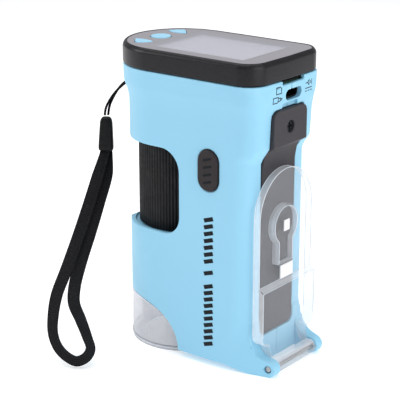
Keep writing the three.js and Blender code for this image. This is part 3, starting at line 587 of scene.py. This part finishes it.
finishes = {
    "bluePlastic": mouldedFinish("bluePlastic", {
        "colour": (0.275, 0.585, 0.775), "shade": (0.262, 0.57, 0.76), "wornColour": (0.5, 0.78, 0.92),
        "roughness": (0.42, 0.5), "grainScale": 2400.0, "grainDepth": 0.006 * mm, "wear": 0.25, "dust": 0.03,
    }),
    "blueKey": mouldedFinish("blueKey", {
        "colour": (0.31, 0.61, 0.8), "shade": (0.29, 0.59, 0.78), "wornColour": (0.5, 0.78, 0.92),
        "roughness": (0.35, 0.42), "grainScale": 3200.0, "grainDepth": 0.004 * mm, "wear": 0.2, "dust": 0.03,
    }),
    "blackSatin": mouldedFinish("blackSatin", {
        "colour": (0.009, 0.0085, 0.0105), "shade": (0.011, 0.0105, 0.0125),
        "wornColour": (0.04, 0.038, 0.043), "specular": 0.22, "roughness": (0.27, 0.34),
        "grainScale": 2600.0, "grainDepth": 0.008 * mm, "wear": 0.3, "dust": 0.02,
    }),
    "coverPlastic": mouldedFinish("coverPlastic", {
        "colour": (0.03, 0.027, 0.032), "shade": (0.034, 0.03, 0.036), "wornColour": (0.1, 0.1, 0.11),
        "specular": 0.3, "roughness": (0.5, 0.6), "grainScale": 2200.0, "grainDepth": 0.012 * mm,
        "wear": 0.3, "dust": 0.03,
    }),
    "ribRubber": mouldedFinish("ribRubber", {
        "colour": (0.008, 0.008, 0.009), "shade": (0.011, 0.0105, 0.012), "wornColour": (0.04, 0.04, 0.042),
        "specular": 0.25, "roughness": (0.55, 0.7), "grainScale": 3000.0, "grainDepth": 0.01 * mm,
        "wear": 0.35, "dust": 0.05,
    }),
    "beadRubber": mouldedFinish("beadRubber", {
        "colour": (0.005, 0.005, 0.0055), "shade": (0.007, 0.007, 0.0075), "wornColour": (0.02, 0.02, 0.021),
        "specular": 0.18, "roughness": (0.35, 0.45), "grainScale": 3000.0, "grainDepth": 0.008 * mm,
        "wear": 0.3, "dust": 0.03,
    }),
    "keyRubber": mouldedFinish("keyRubber", {
        "colour": (0.02, 0.015, 0.017), "shade": (0.024, 0.019, 0.021), "wornColour": (0.06, 0.055, 0.06),
        "specular": 0.25, "roughness": (0.55, 0.68), "grainScale": 2600.0, "grainDepth": 0.01 * mm,
        "wear": 0.3, "dust": 0.03,
    }),
    # also the colour of the ring of painted shade in the mode key's gap
    "innerBlackAndGapShade": mouldedFinish("innerBlackAndGapShade", {
        "colour": (0.012, 0.012, 0.013), "shade": (0.018, 0.018, 0.019), "wornColour": (0.05, 0.05, 0.05),
        "roughness": (0.5, 0.65), "grainScale": 1800.0, "grainDepth": 0.01 * mm, "wear": 0.2, "dust": 0.04,
    }),
    "whitePlastic": mouldedFinish("whitePlastic", {
        "colour": (0.82, 0.82, 0.83), "shade": (0.76, 0.76, 0.78), "wornColour": (0.88, 0.88, 0.88),
        "roughness": (0.4, 0.5), "grainScale": 2400.0, "grainDepth": 0.006 * mm, "wear": 0.1, "dust": 0.04,
    }),
    "ledLens": mouldedFinish("ledLens", {
        "colour": (0.8, 0.76, 0.5), "shade": (0.85, 0.84, 0.75), "wornColour": (0.9, 0.9, 0.85),
        "roughness": (0.2, 0.3), "grainScale": 1500.0, "grainDepth": 0.004 * mm, "wear": 0.1, "dust": 0.02,
    }),
    "cellWrap": mouldedFinish("cellWrap", {
        "colour": (0.05, 0.16, 0.1), "shade": (0.04, 0.13, 0.09), "wornColour": (0.3, 0.35, 0.32),
        "roughness": (0.25, 0.35), "grainScale": 900.0, "grainDepth": 0.01 * mm, "wear": 0.3, "dust": 0.02,
    }),
    # also used as painted shade: the mode key's engraved marks and the cover screw deep in its hole
    "printInkAndShade": mouldedFinish("printInkAndShade", {
        "colour": (0.003, 0.005, 0.008), "shade": (0.005, 0.007, 0.01), "wornColour": (0.03, 0.035, 0.04),
        "specular": 0.15, "roughness": (0.4, 0.55), "grainScale": 3500.0, "grainDepth": 0.003 * mm,
        "wear": 0.1, "dust": 0.0,
    }),
    # painted highlight: faces turned away from the x axis, the plate's cut edges, lean to a whiter colour
    "clearPlastic": veiledHighlightedFinish("clearPlastic", {
        "colour": (0.8, 0.82, 0.86), "shade": (0.76, 0.78, 0.83), "edgeHighlightColour": (0.86, 0.89, 0.93),
        "axis": (1, 0, 0), "slope": -4.0, "base": 3.5, "alpha": (0.06, 0.42), "gloss": 0.35,
        "roughness": (0.04, 0.1),
    }),
    # painted highlight: faces that look up or down, such as the rims, lean to a near-white colour
    "hoodPlastic": veiledHighlightedFinish("hoodPlastic", {
        "colour": (0.66, 0.67, 0.72), "shade": (0.6, 0.61, 0.66), "edgeHighlightColour": (0.95, 0.96, 1.0),
        "axis": (0, 0, 1), "slope": 3.0, "base": -1.5, "alpha": (0.4, 0.85), "gloss": 0.4,
        "roughness": (0.05, 0.12),
    }),
    # painted highlight: near-white lines that stand for bright edge glints
    "paintedHighlightLine": mouldedFinish("paintedHighlightLine", {
        "colour": (0.74, 0.78, 0.82), "shade": (0.6, 0.66, 0.72), "wornColour": (0.9, 0.9, 0.9),
        "driftScale": 90.0, "roughness": (0.1, 0.2), "grainScale": 900.0, "grainDepth": 0.001 * mm,
        "wear": 0.0, "dust": 0.0,
    }),
    # painted shade: dark lines that stand for dark edge reflections
    "paintedShadeLine": mouldedFinish("paintedShadeLine", {
        "colour": (0.2, 0.21, 0.24), "shade": (0.3, 0.31, 0.34), "wornColour": (0.5, 0.5, 0.5),
        "driftScale": 90.0, "roughness": (0.1, 0.2), "grainScale": 900.0, "grainDepth": 0.001 * mm,
        "wear": 0.0, "dust": 0.0,
    }),
    "screenPanel": mouldedFinish("screenPanel", {
        "colour": (0.9, 0.9, 0.97), "shade": (0.86, 0.86, 0.93), "wornColour": (0.9, 0.9, 0.95),
        "roughness": (0.25, 0.35), "grainScale": 900.0, "grainDepth": 0.001 * mm, "wear": 0.0, "dust": 0.0,
    }),
    "lensGlass": clearFinish("lensGlass", {
        "colour": (0.75, 0.7, 0.85), "shade": (0.6, 0.7, 0.9), "bend": 1.6, "roughness": (0.0, 0.02),
        "grainScale": 200.0, "grainDepth": 0.0005 * mm,
    }),
    "brightSteel": metalFinish("brightSteel", {
        "colour": (0.4, 0.395, 0.39), "shade": (0.34, 0.335, 0.33), "roughness": (0.25, 0.38),
        "grainScale": 1800.0, "grainDepth": 0.003 * mm,
    }),
    # also used as painted shade inside the USB port
    "darkSteelAndPortShade": metalFinish("darkSteelAndPortShade", {
        "colour": (0.03, 0.028, 0.03), "shade": (0.02, 0.019, 0.02), "roughness": (0.4, 0.55),
        "grainScale": 1800.0, "grainDepth": 0.004 * mm,
    }),
    "displayGlass": displayFinish("displayGlass", {
        "colour": (0.3, 0.28, 0.305), "shade": (0.28, 0.26, 0.285), "frameShadeColour": (0.24, 0.23, 0.25),
        "screen": (0.6, 0.6, 0.66), "clearAlpha": 0.4, "roughness": (0.3, 0.36),
        "centreX": 1.525 * mm, "halfX": 20.4 * mm, "halfY": 14.9 * mm, "frame": 0.7 * mm,
        "softness": 0.25 * mm,
    }),
    "strapWeave": wovenFinish("strapWeave", {
        "colour": (0.019, 0.019, 0.021), "shade": (0.024, 0.024, 0.026), "valleyShade": (0.0015, 0.0015, 0.002),
        "alongPitch": 1.3, "acrossPitch": 1.1, "depth": 0.08 * mm, "roughness": (0.75, 0.9),
        "dust": 0.03,
    }),
    "cordBraid": wovenFinish("cordBraid", {
        "colour": (0.008, 0.008, 0.009), "shade": (0.01, 0.01, 0.011), "valleyShade": (0.0015, 0.0015, 0.002),
        "alongPitch": 0.9, "acrossPitch": 0.6, "depth": 0.05 * mm, "roughness": (0.6, 0.75),
        "dust": 0.02,
    }),
    "greenBoard": boardFinish("greenBoard", {
        "mask": (0.01, 0.13, 0.055), "maskShade": (0.012, 0.15, 0.06), "track": (0.03, 0.22, 0.1),
    }),
}
floorFinish, floorTree, floorShader = newFinish("paleFloor")
floorSkin = placeSkin(floorTree, studio["floorLook"], 3.0, 400.0)
floorTree.links.new(floorSkin.outputs["Colour"], floorShader.inputs["Base Color"])
floorTree.links.new(floorSkin.outputs["Roughness"], floorShader.inputs["Roughness"])
floorShader.inputs["Emission Color"].default_value = (1, 1, 1, 1)
floorShader.inputs["Emission Strength"].default_value = studio["floorGlow"]
print("finishes built:", len(finishes))

half, level = studio["floorSize"] / 2, -0.1 * mm
floorCorners = [(x * half, y * half, level) for x, y in ((-1, -1), (1, -1), (1, 1), (-1, 1))]
floor = newPiece("studioFloor", meshFrom("studioFloor", floorCorners, [(0, 1, 2, 3)]), floorFinish)

# wrist strap
cordSettings = {"radius": 0.5 * mm, "plies": 3, "layLength": 2.4 * mm, "plyDepth": 0.09 * mm, "perSpan": 9}
cordRoute = smoothRoute((
    (-0.049675, -0.0024, 0.0794), (-0.049775, -0.0012, 0.083), (-0.048475, 0.0018, 0.0885),
    (-0.044875, 0.0049, 0.093), (-0.040375, 0.0066, 0.0952), (-0.036375, 0.0071, 0.0956),
    (-0.033075, 0.0066, 0.0955), (-0.031575, 0.0045, 0.0955), (-0.033675, 0.0031, 0.0954),
    (-0.036975, 0.0043, 0.0952), (-0.041075, 0.0036, 0.0942), (-0.045675, 0.0018, 0.091),
    (-0.049275, -0.0008, 0.086), (-0.050575, -0.0026, 0.082), (-0.050475, -0.0034, 0.0794),
), cordSettings["perSpan"])


def twistedSection(distance, count=18):
    lean = distance / cordSettings["layLength"] * 2 * math.pi
    ring = []
    for k in range(count):
        angle = 2 * math.pi * k / count
        dip = cordSettings["plyDepth"] * (0.5 - 0.5 * math.cos(cordSettings["plies"] * (angle - lean)))
        reach = cordSettings["radius"] - dip
        ring.append((math.cos(angle) * reach, math.sin(angle) * reach))
    return ring


cordMesh = sweep("strapCordLoop", cordRoute, twistedSection)
strapCord = newPiece("strapCordLoop", cordMesh, finishes["cordBraid"])

bandSettings = {"halfWidth": 2.3 * mm, "halfThick": 0.55 * mm, "selvedge": 0.4 * mm, "perSpan": 12,
                "endHalfWidth": 1.8 * mm, "taper": 12 * mm, "twist": 58, "twistReach": 24 * mm,
                # across the woven edge, in selvedge widths and shares of the half thickness
                "edgeShape": ((0, 0), (0.15, 0.62), (0.6, 1), (1.4, 0.97), (1.9, 0.78), (2.4, 0.9))}
bandFace = Vector((0.47, -0.61, 0.64)).normalized()
bandRoute = smoothRoute((
    (-0.04955, -0.0044, 0.0675), (-0.049275, -0.0053, 0.0651), (-0.048475, -0.0074, 0.063),
    (-0.046775, -0.0133, 0.0564),
    (-0.044775, -0.0208, 0.0477), (-0.042875, -0.0288, 0.0385), (-0.041375, -0.0368, 0.0292),
    (-0.040375, -0.0431, 0.0219), (-0.038375, -0.0474, 0.0158), (-0.035575, -0.0507, 0.0106),
    (-0.031975, -0.0521, 0.0066), (-0.027875, -0.0519, 0.0039), (-0.024375, -0.0506, 0.0027),
    (-0.022275, -0.0479, 0.0039), (-0.022375, -0.0454, 0.0062), (-0.025175, -0.0439, 0.0094),
    (-0.029975, -0.0421, 0.0147), (-0.034275, -0.0406, 0.0193), (-0.036675, -0.0375, 0.0241),
    (-0.039075, -0.0314, 0.0309), (-0.041475, -0.0229, 0.0403), (-0.043875, -0.0149, 0.0496),
    (-0.046275, -0.0077, 0.058), (-0.049075, -0.0039, 0.063), (-0.049775, -0.0031, 0.0651),
    (-0.0498, -0.0037, 0.0675),
), bandSettings["perSpan"])
bandLength = routeLength(bandRoute)


def bandSection(distance):
    # flat in the middle, with a thin groove beside each thick woven edge
    thick, edge = bandSettings["halfThick"], bandSettings["selvedge"]
    nearEnd = min(1.0, min(distance, bandLength - distance) / bandSettings["taper"])
    wide = bandSettings["endHalfWidth"] + (bandSettings["halfWidth"] - bandSettings["endHalfWidth"]) * nearEnd
    upper = [(-wide + edge * inward, thick * rise) for inward, rise in bandSettings["edgeShape"]]
    upper.append((0.0, thick * 0.92))
    upper += [(-u, v) for u, v in upper[-2::-1]]
    outline = upper[::-1] + [(u, -v) for u, v in upper[1:-1]]
    # the webbing turns on edge where the loop folds back
    share = (distance - bandLength / 2) / bandSettings["twistReach"]
    turn = math.radians(bandSettings["twist"]) * math.exp(-share * share)
    c, s = math.cos(turn), math.sin(turn)
    return [(u * c - v * s, u * s + v * c) for u, v in outline]


bandMesh = sweep("strapBand", bandRoute, bandSection, bandFace)
strapBand = newPiece("strapBand", bandMesh, finishes["strapWeave"])

beadSettings = {
    "foot": (-0.049675, -0.0040, 0.066), "top": (-0.050075, -0.0030, 0.079), "turn": 37.7,
    # height share, half width, half depth, corner cut
    "stations": (
        (-0.02, 0.52, 0.5, 0.3), (0.0, 0.78, 0.78, 0.3), (0.02, 0.93, 0.9, 0.34), (0.07, 1.0, 0.98, 0.36),
        (0.13, 1.0, 1.0, 0.36), (0.45, 0.93, 0.95, 0.38), (0.8, 0.84, 0.88, 0.4), (0.9, 0.78, 0.82, 0.42),
        (0.96, 0.62, 0.68, 0.42), (0.99, 0.45, 0.5, 0.42), (1.0, 0.25, 0.28, 0.42),
    ),
    "halfWidth": 2.9 * mm, "halfDepth": 2.0 * mm,
}


def beadMesh(look):
    foot, top = Vector(look["foot"]), Vector(look["top"])
    along = (top - foot).normalized()
    turn = math.radians(look["turn"])
    side = Vector((math.cos(turn), math.sin(turn), 0))
    side = (side - along * side.dot(along)).normalized()
    out = along.cross(side)
    points = []
    for share, wide, deep, corner in look["stations"]:
        centre = foot.lerp(top, max(share, 0.0))
        w, d = look["halfWidth"] * wide, look["halfDepth"] * deep
        c = corner * d * 1.1
        near, crown = c * 0.35, d * 1.03  # the rounded corner's middle and the faces' crown
        ring = [(w, -d + c), (w, d - c), (w - near, d - near), (w - c, d), (0.0, crown), (-w + c, d),
                (-w + near, d - near), (-w, d - c), (-w, -d + c), (-w + near, -d + near),
                (-w + c, -d), (0.0, -crown), (w - c, -d), (w - near, -d + near)]
        points += [centre + side * u + out * v for u, v in ring]
    return meshFrom("strapBeadMoulding", points, ringFaces(len(look["stations"]), len(ring)))


strapBead = newPiece("strapBeadMoulding", beadMesh(beadSettings), finishes["beadRubber"])
rounding = strapBead.modifiers.new("rounding", "SUBSURF")
rounding.levels = rounding.render_levels = 2
settle(strapBead)
softEdges(strapBead.data, math.radians(60))

for piece, node, slot in ((strapCord, "strap_cord", "webbing"), (strapBand, "strap_webbing", "webbing"),
                          (strapBead, "strap_bead", "grip_rubber")):
    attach(piece, "case")
    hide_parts(node)

# ribbed focus drum
drumSettings = {"ribs": 84, "depth": 0.5 * mm, "bore": 14.8 * mm, "chamfer": 0.5 * mm}


def drumMesh(look):
    low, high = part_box("focus_grip")
    centre = (low + high) / 2
    radius = (high.y - low.y) / 2
    # place across one rib and how far its surface lies below the crest
    profile = ((0.0, 0.0), (0.2, 0.02), (0.38, 0.16), (0.5, 0.7), (0.58, 1.0), (0.72, 1.0), (0.8, 0.7),
               (0.9, 0.16))
    levels = ((low.z, look["chamfer"]), (low.z + look["chamfer"], 0.0), (high.z - look["chamfer"], 0.0),
              (high.z, look["chamfer"]))
    points = []
    around = [(rib + share, dip) for rib in range(look["ribs"]) for share, dip in profile]
    for height, inset in levels:
        for turn, dip in around:
            angle = 2 * math.pi * turn / look["ribs"]
            reach = radius - inset - dip * look["depth"] * (1 if inset == 0 else 0.3)
            points.append((centre.x + reach * math.cos(angle), centre.y + reach * math.sin(angle), height))
    for height in (high.z, low.z):
        for turn, dip in around:
            angle = 2 * math.pi * turn / look["ribs"]
            inX, inY = look["bore"] * math.cos(angle), look["bore"] * math.sin(angle)
            points.append((centre.x + inX, centre.y + inY, height))
    mesh = meshFrom("ribbedDrum", points, ringFaces(len(levels) + 2, len(around), closed=True))
    softEdges(mesh, math.radians(50))
    return mesh


ribbedDrum = newPiece("ribbedDrum", drumMesh(drumSettings), finishes["ribRubber"])
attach(ribbedDrum, "focus_drum")
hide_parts("focus_grip")
print("drum made")

# body, housing and the other visible mouldings
mouldings = (
    # solid, piece, body, slot, finish, edge radius in mm
    ("front_shell", "frontShellMoulding", "case", "blue_plastic", "bluePlastic", 0.35),
    ("rear_shell", "rearShellMoulding", "case", "blue_plastic", "bluePlastic", 0.35),
    ("top_housing", "screenHousing", "case", "black_plastic", "blackSatin", 0.25),
    ("display_window", "displayGlass", "case", "window", "displayGlass", 0.2),
    ("down_button", "downKeyCap", "down_key", "blue_plastic", "blueKey", 0.35),
    ("ok_button", "okKeyCap", "ok_key", "blue_plastic", "blueKey", 0.35),
    ("up_button", "upKeyCap", "up_key", "blue_plastic", "blueKey", 0.35),
    ("mode_button", "modeKeyCap", "mode_key", "grip_rubber", "keyRubber", 0.4),
    ("battery_cover", "batteryCoverMoulding", "case", "black_plastic", "coverPlastic", 0.3),
    ("clear_hood", "clearHoodMoulding", "case", "clear_plastic", "hoodPlastic", 0.25),
    ("slide_stage", "slideStageMoulding", "stage", "clear_plastic", "clearPlastic", 0.3),
    ("slide_tongue", "slideTongueMoulding", "tongue", "clear_plastic", "clearPlastic", 0.12),
    ("tongue_clamp", "tongueClampBlock", "stage", "white_plastic", "whitePlastic", 0.15),
    ("hinge_pin", "hingePinTurned", "case", "steel", "brightSteel", 0.12),
)
for node, name, body, slot, finish, edge in mouldings:
    refined(node, name, body, finishes[finish], edge * mm)
print("mouldings refined:", len(mouldings))

# printed marks, and near-black raised bars on the mode key that are painted shade for its engraved marks,
# laid on the mouldings they belong to
printSettings = {
    "dashes": {
        "width": 1.5 * mm, "lift": 0.04 * mm, "sink": 0.03 * mm, "acrossX": (9.2 * mm, 13.1 * mm),
        "slant": 1.3 * mm, "runs": ((8.3, 30.3, 10), (34.4, 36.4, 1), (39.8, 55.2, 7)),
    },
    "sockets": {"width": 0.3 * mm, "lift": 0.04 * mm, "sink": 0.03 * mm},
    "keyGrooveShades": {"width": 0.8 * mm, "lift": 0.12 * mm, "sink": 0.1 * mm, "heights": (68.9, 71.6, 74.4, 77.1)},
}


def treeOf(name):
    mesh = bpy.data.objects[name].data
    corners = [v.co.copy() for v in mesh.vertices]
    return BVHTree.FromPolygons(corners, [tuple(f.vertices) for f in mesh.polygons])


def layStrokes(name, strokes, look, trees, spot, ray, material, body):
    # each stroke is a thin slab that follows the surface under it; spot(u, v) is where its ray starts
    points, faces = [], []

    def landed(u, v):
        start = Vector(spot(u, v))
        hits = [tree.ray_cast(start, ray) for tree in trees]
        hits = [hit for hit in hits if hit[0] is not None]
        return min(hits, key=lambda hit: hit[3])[0] if hits else None

    for stroke in strokes:
        for (u0, v0), (u1, v1) in zip(stroke, stroke[1:]):
            along = Vector((u1 - u0, v1 - v0))
            length = along.length
            along.normalize()
            out = Vector((-along.y, along.x)) * look["width"] / 2
            reach = along * look["width"] * 0.5 if len(stroke) > 2 else along * 0
            steps = max(2, round(length / (0.5 * mm)))
            rows = []
            for step in range(steps + 1):
                centre = Vector((u0, v0)) - reach + (along * length + reach * 2) * step / steps
                rows.append([landed(*(centre + out)), landed(*(centre - out))])
            if any(p is None for row in rows for p in row):
                continue
            base = len(points)
            for left, right in rows:
                points += [left - ray * look["lift"], right - ray * look["lift"],
                           right + ray * look["sink"], left + ray * look["sink"]]
            for row in range(steps):
                a = base + row * 4
                faces += [(a + k, a + (k + 1) % 4, a + 4 + (k + 1) % 4, a + 4 + k) for k in range(4)]
            faces += [(base + 3, base + 2, base + 1, base), tuple(base + steps * 4 + k for k in range(4))]
    mesh = meshFrom(name, points, faces, smooth=False)
    item = newPiece(name, mesh, material)
    softEdges(mesh, math.radians(30))
    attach(item, body)
    return item


def dashStrokes(look):
    left, right = look["acrossX"]
    strokes = []
    for low, high, count in look["runs"]:
        for k in range(count):
            z = (low + (high - low) * (k / (count - 1) if count > 1 else 0.5)) * mm
            strokes.append(((left, z - look["slant"] / 2), (right, z + look["slant"] / 2)))
    return strokes


def boxStroke(y0, y1, z0, z1):
    return ((y0, z0), (y1, z0), (y1, z1), (y0, z1), (y0, z0))


def scaled(strokes):
    return [tuple((u * mm, v * mm) for u, v in stroke) for stroke in strokes]


socketIcons = scaled((
    ((-8.7, 100.6), (-5.9, 100.6), (-5.9, 102.3), (-6.6, 102.9), (-8.7, 102.9), (-8.7, 100.6)),
    ((-8.1, 102.3), (-8.1, 102.9)), ((-7.4, 102.3), (-7.4, 102.9)),
    boxStroke(-10.3, -7.6, 97.6, 99.5), boxStroke(-7.6, -6.4, 98.0, 99.1), ((-6.4, 98.3), (-5.3, 98.3)),
    ((-6.4, 98.8), (-5.3, 98.8)),
    ((9.1, 101.3), (10.2, 101.3), (11.2, 100.4), (11.2, 102.2), (10.2, 101.3)),
    ((12.1, 100.8), (12.1, 101.8)), ((12.9, 100.4), (12.9, 102.2)),
    ((8.8, 99.4), (13.2, 99.4)), ((8.8, 98.4), (9.9, 98.4)), ((10.5, 98.4), (11.5, 98.4)),
    ((12.1, 98.4), (13.2, 98.4)),
))
shellTrees = [treeOf("frontShellMoulding"), treeOf("rearShellMoulding")]
layStrokes("printedDashes", dashStrokes(printSettings["dashes"]), printSettings["dashes"], shellTrees,
           lambda u, v: (u, -0.05, v), Vector((0, 1, 0)), finishes["printInkAndShade"], "case")
layStrokes("printedSocketIcons", socketIcons, printSettings["sockets"], shellTrees,
           lambda u, v: (0.06, u, v), Vector((-1, 0, 0)), finishes["printInkAndShade"], "case")
# painted shade: near-black bars stand for the shade in the mode key's engraved marks
grooveShadeLook = printSettings["keyGrooveShades"]
keyGrooveShades = [((9.4 * mm, (z - 0.5) * mm), (12.6 * mm, (z + 0.5) * mm)) for z in grooveShadeLook["heights"]]
layStrokes("modeKeyBars", keyGrooveShades, grooveShadeLook, [treeOf("modeKeyCap")],
           lambda u, v: (u, -0.05, v), Vector((0, 1, 0)), finishes["printInkAndShade"], "mode_key")
print("marks laid on")

# a dark ring of painted shade that fills the gap round the mode key
gapShadeSettings = {"centre": (11.025 * mm, 73 * mm), "inner": 4.24 * mm, "outer": 4.49 * mm,
                  "straight": 6.3 * mm, "front": -19.62 * mm, "back": -18.3 * mm, "arcSteps": 16}


def gapShadeMesh(look):
    x, z = look["centre"]
    layers = ((look["outer"], look["front"]), (look["inner"], look["front"]), (look["inner"], look["back"]),
              (look["outer"], look["back"]))
    points = []
    for radius, depth in layers:
        for end in (0, 1):
            for step in range(look["arcSteps"] + 1):
                angle = math.pi * (end + step / look["arcSteps"])
                rise = look["straight"] / 2 * (1 - 2 * end)
                points.append((x + radius * math.cos(angle), depth, z + rise + radius * math.sin(angle)))
    count = 2 * (look["arcSteps"] + 1)
    mesh = meshFrom("modeKeyGasket", points, ringFaces(len(layers), count, closed=True))
    softEdges(mesh, math.radians(40))
    return mesh


gapShadeRing = newPiece("modeKeyGasket", gapShadeMesh(gapShadeSettings), finishes["innerBlackAndGapShade"])
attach(gapShadeRing, "case")
print("gasket made")

# fine beads that carry painted highlights and painted shade, standing for the bright and dark edge
# reflections of the stage, its tongue and the hood
glintSettings = {
    "radius": 0.13 * mm, "sides": 6, "arcSteps": 28,
    "halfWidth": 16.0 * mm, "shoulder": 14.4 * mm, "arcHeight": 56.9 * mm, "ledgeTop": 32.6 * mm,
    "ledgeFoot": 31.1 * mm, "backX": 27.9 * mm, "thinX": 30.4 * mm, "thickX": 32.28 * mm,
    "tongueRoot": 38.5 * mm, "tongueCentre": 52.1 * mm, "tongueHead": 6.9 * mm, "tongueStem": 4.1 * mm,
}


def arcPoints(x, centreHeight, radius, start, end, steps):
    turns = [start + (end - start) * step / steps for step in range(steps + 1)]
    return [Vector((x, radius * math.cos(turn), centreHeight + radius * math.sin(turn))) for turn in turns]


def plateOutline(look, x, foot):
    half, height = look["halfWidth"], look["arcHeight"]
    over = arcPoints(x, height, half, 0, math.pi, look["arcSteps"])
    return [Vector((x, half, foot)), *over, Vector((x, -half, foot))]


def stageLines(look):
    half, neck = look["halfWidth"], math.asin(look["tongueStem"] / look["tongueHead"])
    thin, thick = look["thinX"], look["thickX"]
    yield plateOutline(look, look["backX"], look["shoulder"])
    yield plateOutline(look, thin, look["ledgeTop"])
    yield [Vector((thin, -half, look["ledgeTop"])), Vector((thin, half, look["ledgeTop"]))]
    yield [Vector((thick, y, z)) for y, z in ((-half, look["shoulder"]), (-half, look["ledgeFoot"]),
                                              (half, look["ledgeFoot"]), (half, look["shoulder"]))]
    head = arcPoints(thin, look["tongueCentre"], look["tongueHead"], -math.pi / 2 + neck,
                     1.5 * math.pi - neck, look["arcSteps"])
    stem = [Vector((thin, side * look["tongueStem"], look["tongueRoot"])) for side in (1, -1)]
    yield [stem[0], *head, stem[1]]


def paintedLines(name, routes, look, body, face, finish="paintedHighlightLine"):
    work = bmesh.new()
    turns = [2 * math.pi * k / look["sides"] for k in range(look["sides"])]
    ring = [(look["radius"] * math.cos(turn), look["radius"] * math.sin(turn)) for turn in turns]
    for route in routes:
        mesh = sweep(name, route, lambda distance: ring, Vector(face))
        work.from_mesh(mesh)
        bpy.data.meshes.remove(mesh)
    mesh = bpy.data.meshes.new(name)
    work.to_mesh(mesh)
    work.free()
    item = newPiece(name, mesh, finishes[finish])
    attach(item, body)
    return item


stageRoutes = list(stageLines(glintSettings))
# painted highlights along the stage's and the tongue's edges
paintedLines("stageEdgeBeads", stageRoutes[:-1], glintSettings, "stage", (1, 0, 0))
paintedLines("tongueEdgeBead", stageRoutes[-1:], glintSettings, "tongue", (1, 0, 0))

hoodLines = {
    "centreX": -14.945 * mm, "radius": 19.78 * mm, "height": 1.1 * mm, "shadeRise": 0.7 * mm,
    "from": 60, "to": 300, "steps": 64,
    "inner": ((-18.2, -19.5, 4.6), (-17.3, -19.6, 8.2), (-14.3, -19.75, 11.0), (-11.4, -19.5, 13.0),
              (-9.8, -19.1, 12.9)),
    "perSpan": 8,
}
hoodRim = []
for step in range(hoodLines["steps"] + 1):
    turn = math.radians(hoodLines["from"] + (hoodLines["to"] - hoodLines["from"]) * step / hoodLines["steps"])
    hoodRim.append(Vector((hoodLines["centreX"] + hoodLines["radius"] * math.cos(turn),
                           hoodLines["radius"] * math.sin(turn), hoodLines["height"])))
hoodCurve = smoothRoute([Vector(point) * mm for point in hoodLines["inner"]], hoodLines["perSpan"])
# painted highlight along the hood's rim
paintedLines("hoodRimBead", [hoodRim], glintSettings, "case", (0, 0, 1))
hoodShade = [p + Vector((0, 0, hoodLines["shadeRise"])) for p in hoodRim]
# painted shade: a dark line just above the hood's rim
paintedLines("hoodRimShade", [hoodShade], glintSettings, "case", (0, 0, 1), "paintedShadeLine")
# painted reflection: a bright arc across the hood's front
paintedLines("hoodCurveBead", [hoodCurve], glintSettings, "case", (0, -1, 0))
print("edge beads made")

# inner parts keep their solids
innerFinishes = {
    "brightSteel": ["down_button_switch", "ok_button_switch", "up_button_switch", "mode_switch",
                    "battery_spring", "battery_contact", "strap_post"],
    "greenBoard": ["key_board", "main_board", "mode_board", "camera_board"],
    "innerBlackAndGapShade": ["card_slot", "guide_tube", "lens_carrier", "image_sensor", "battery_tray"],
    "whitePlastic": ["focus_cam_hub", "led_board", "specimen_spot"],
    # painted shade: the USB port's steel is made dark as the shade inside it
    "darkSteelAndPortShade": ["usb_port", *(f"shell_screw_{count}" for count in range(1, 5))],
    "ledLens": [f"led_{count}" for count in range(1, 7)],
    "screenPanel": ["lcd_module"], "lensGlass": ["objective_lens"], "cellWrap": ["battery_cell"],
    # painted shade: the cover screw deep in its hole is made near black
    "printInkAndShade": ["cover_screw"],
}
for finish, inside in innerFinishes.items():
    for node in inside:
        for slot in nodes[node].material_slots:
            slot.material = finishes[finish]
print("inner parts finished:", sum(map(len, innerFinishes.values())))
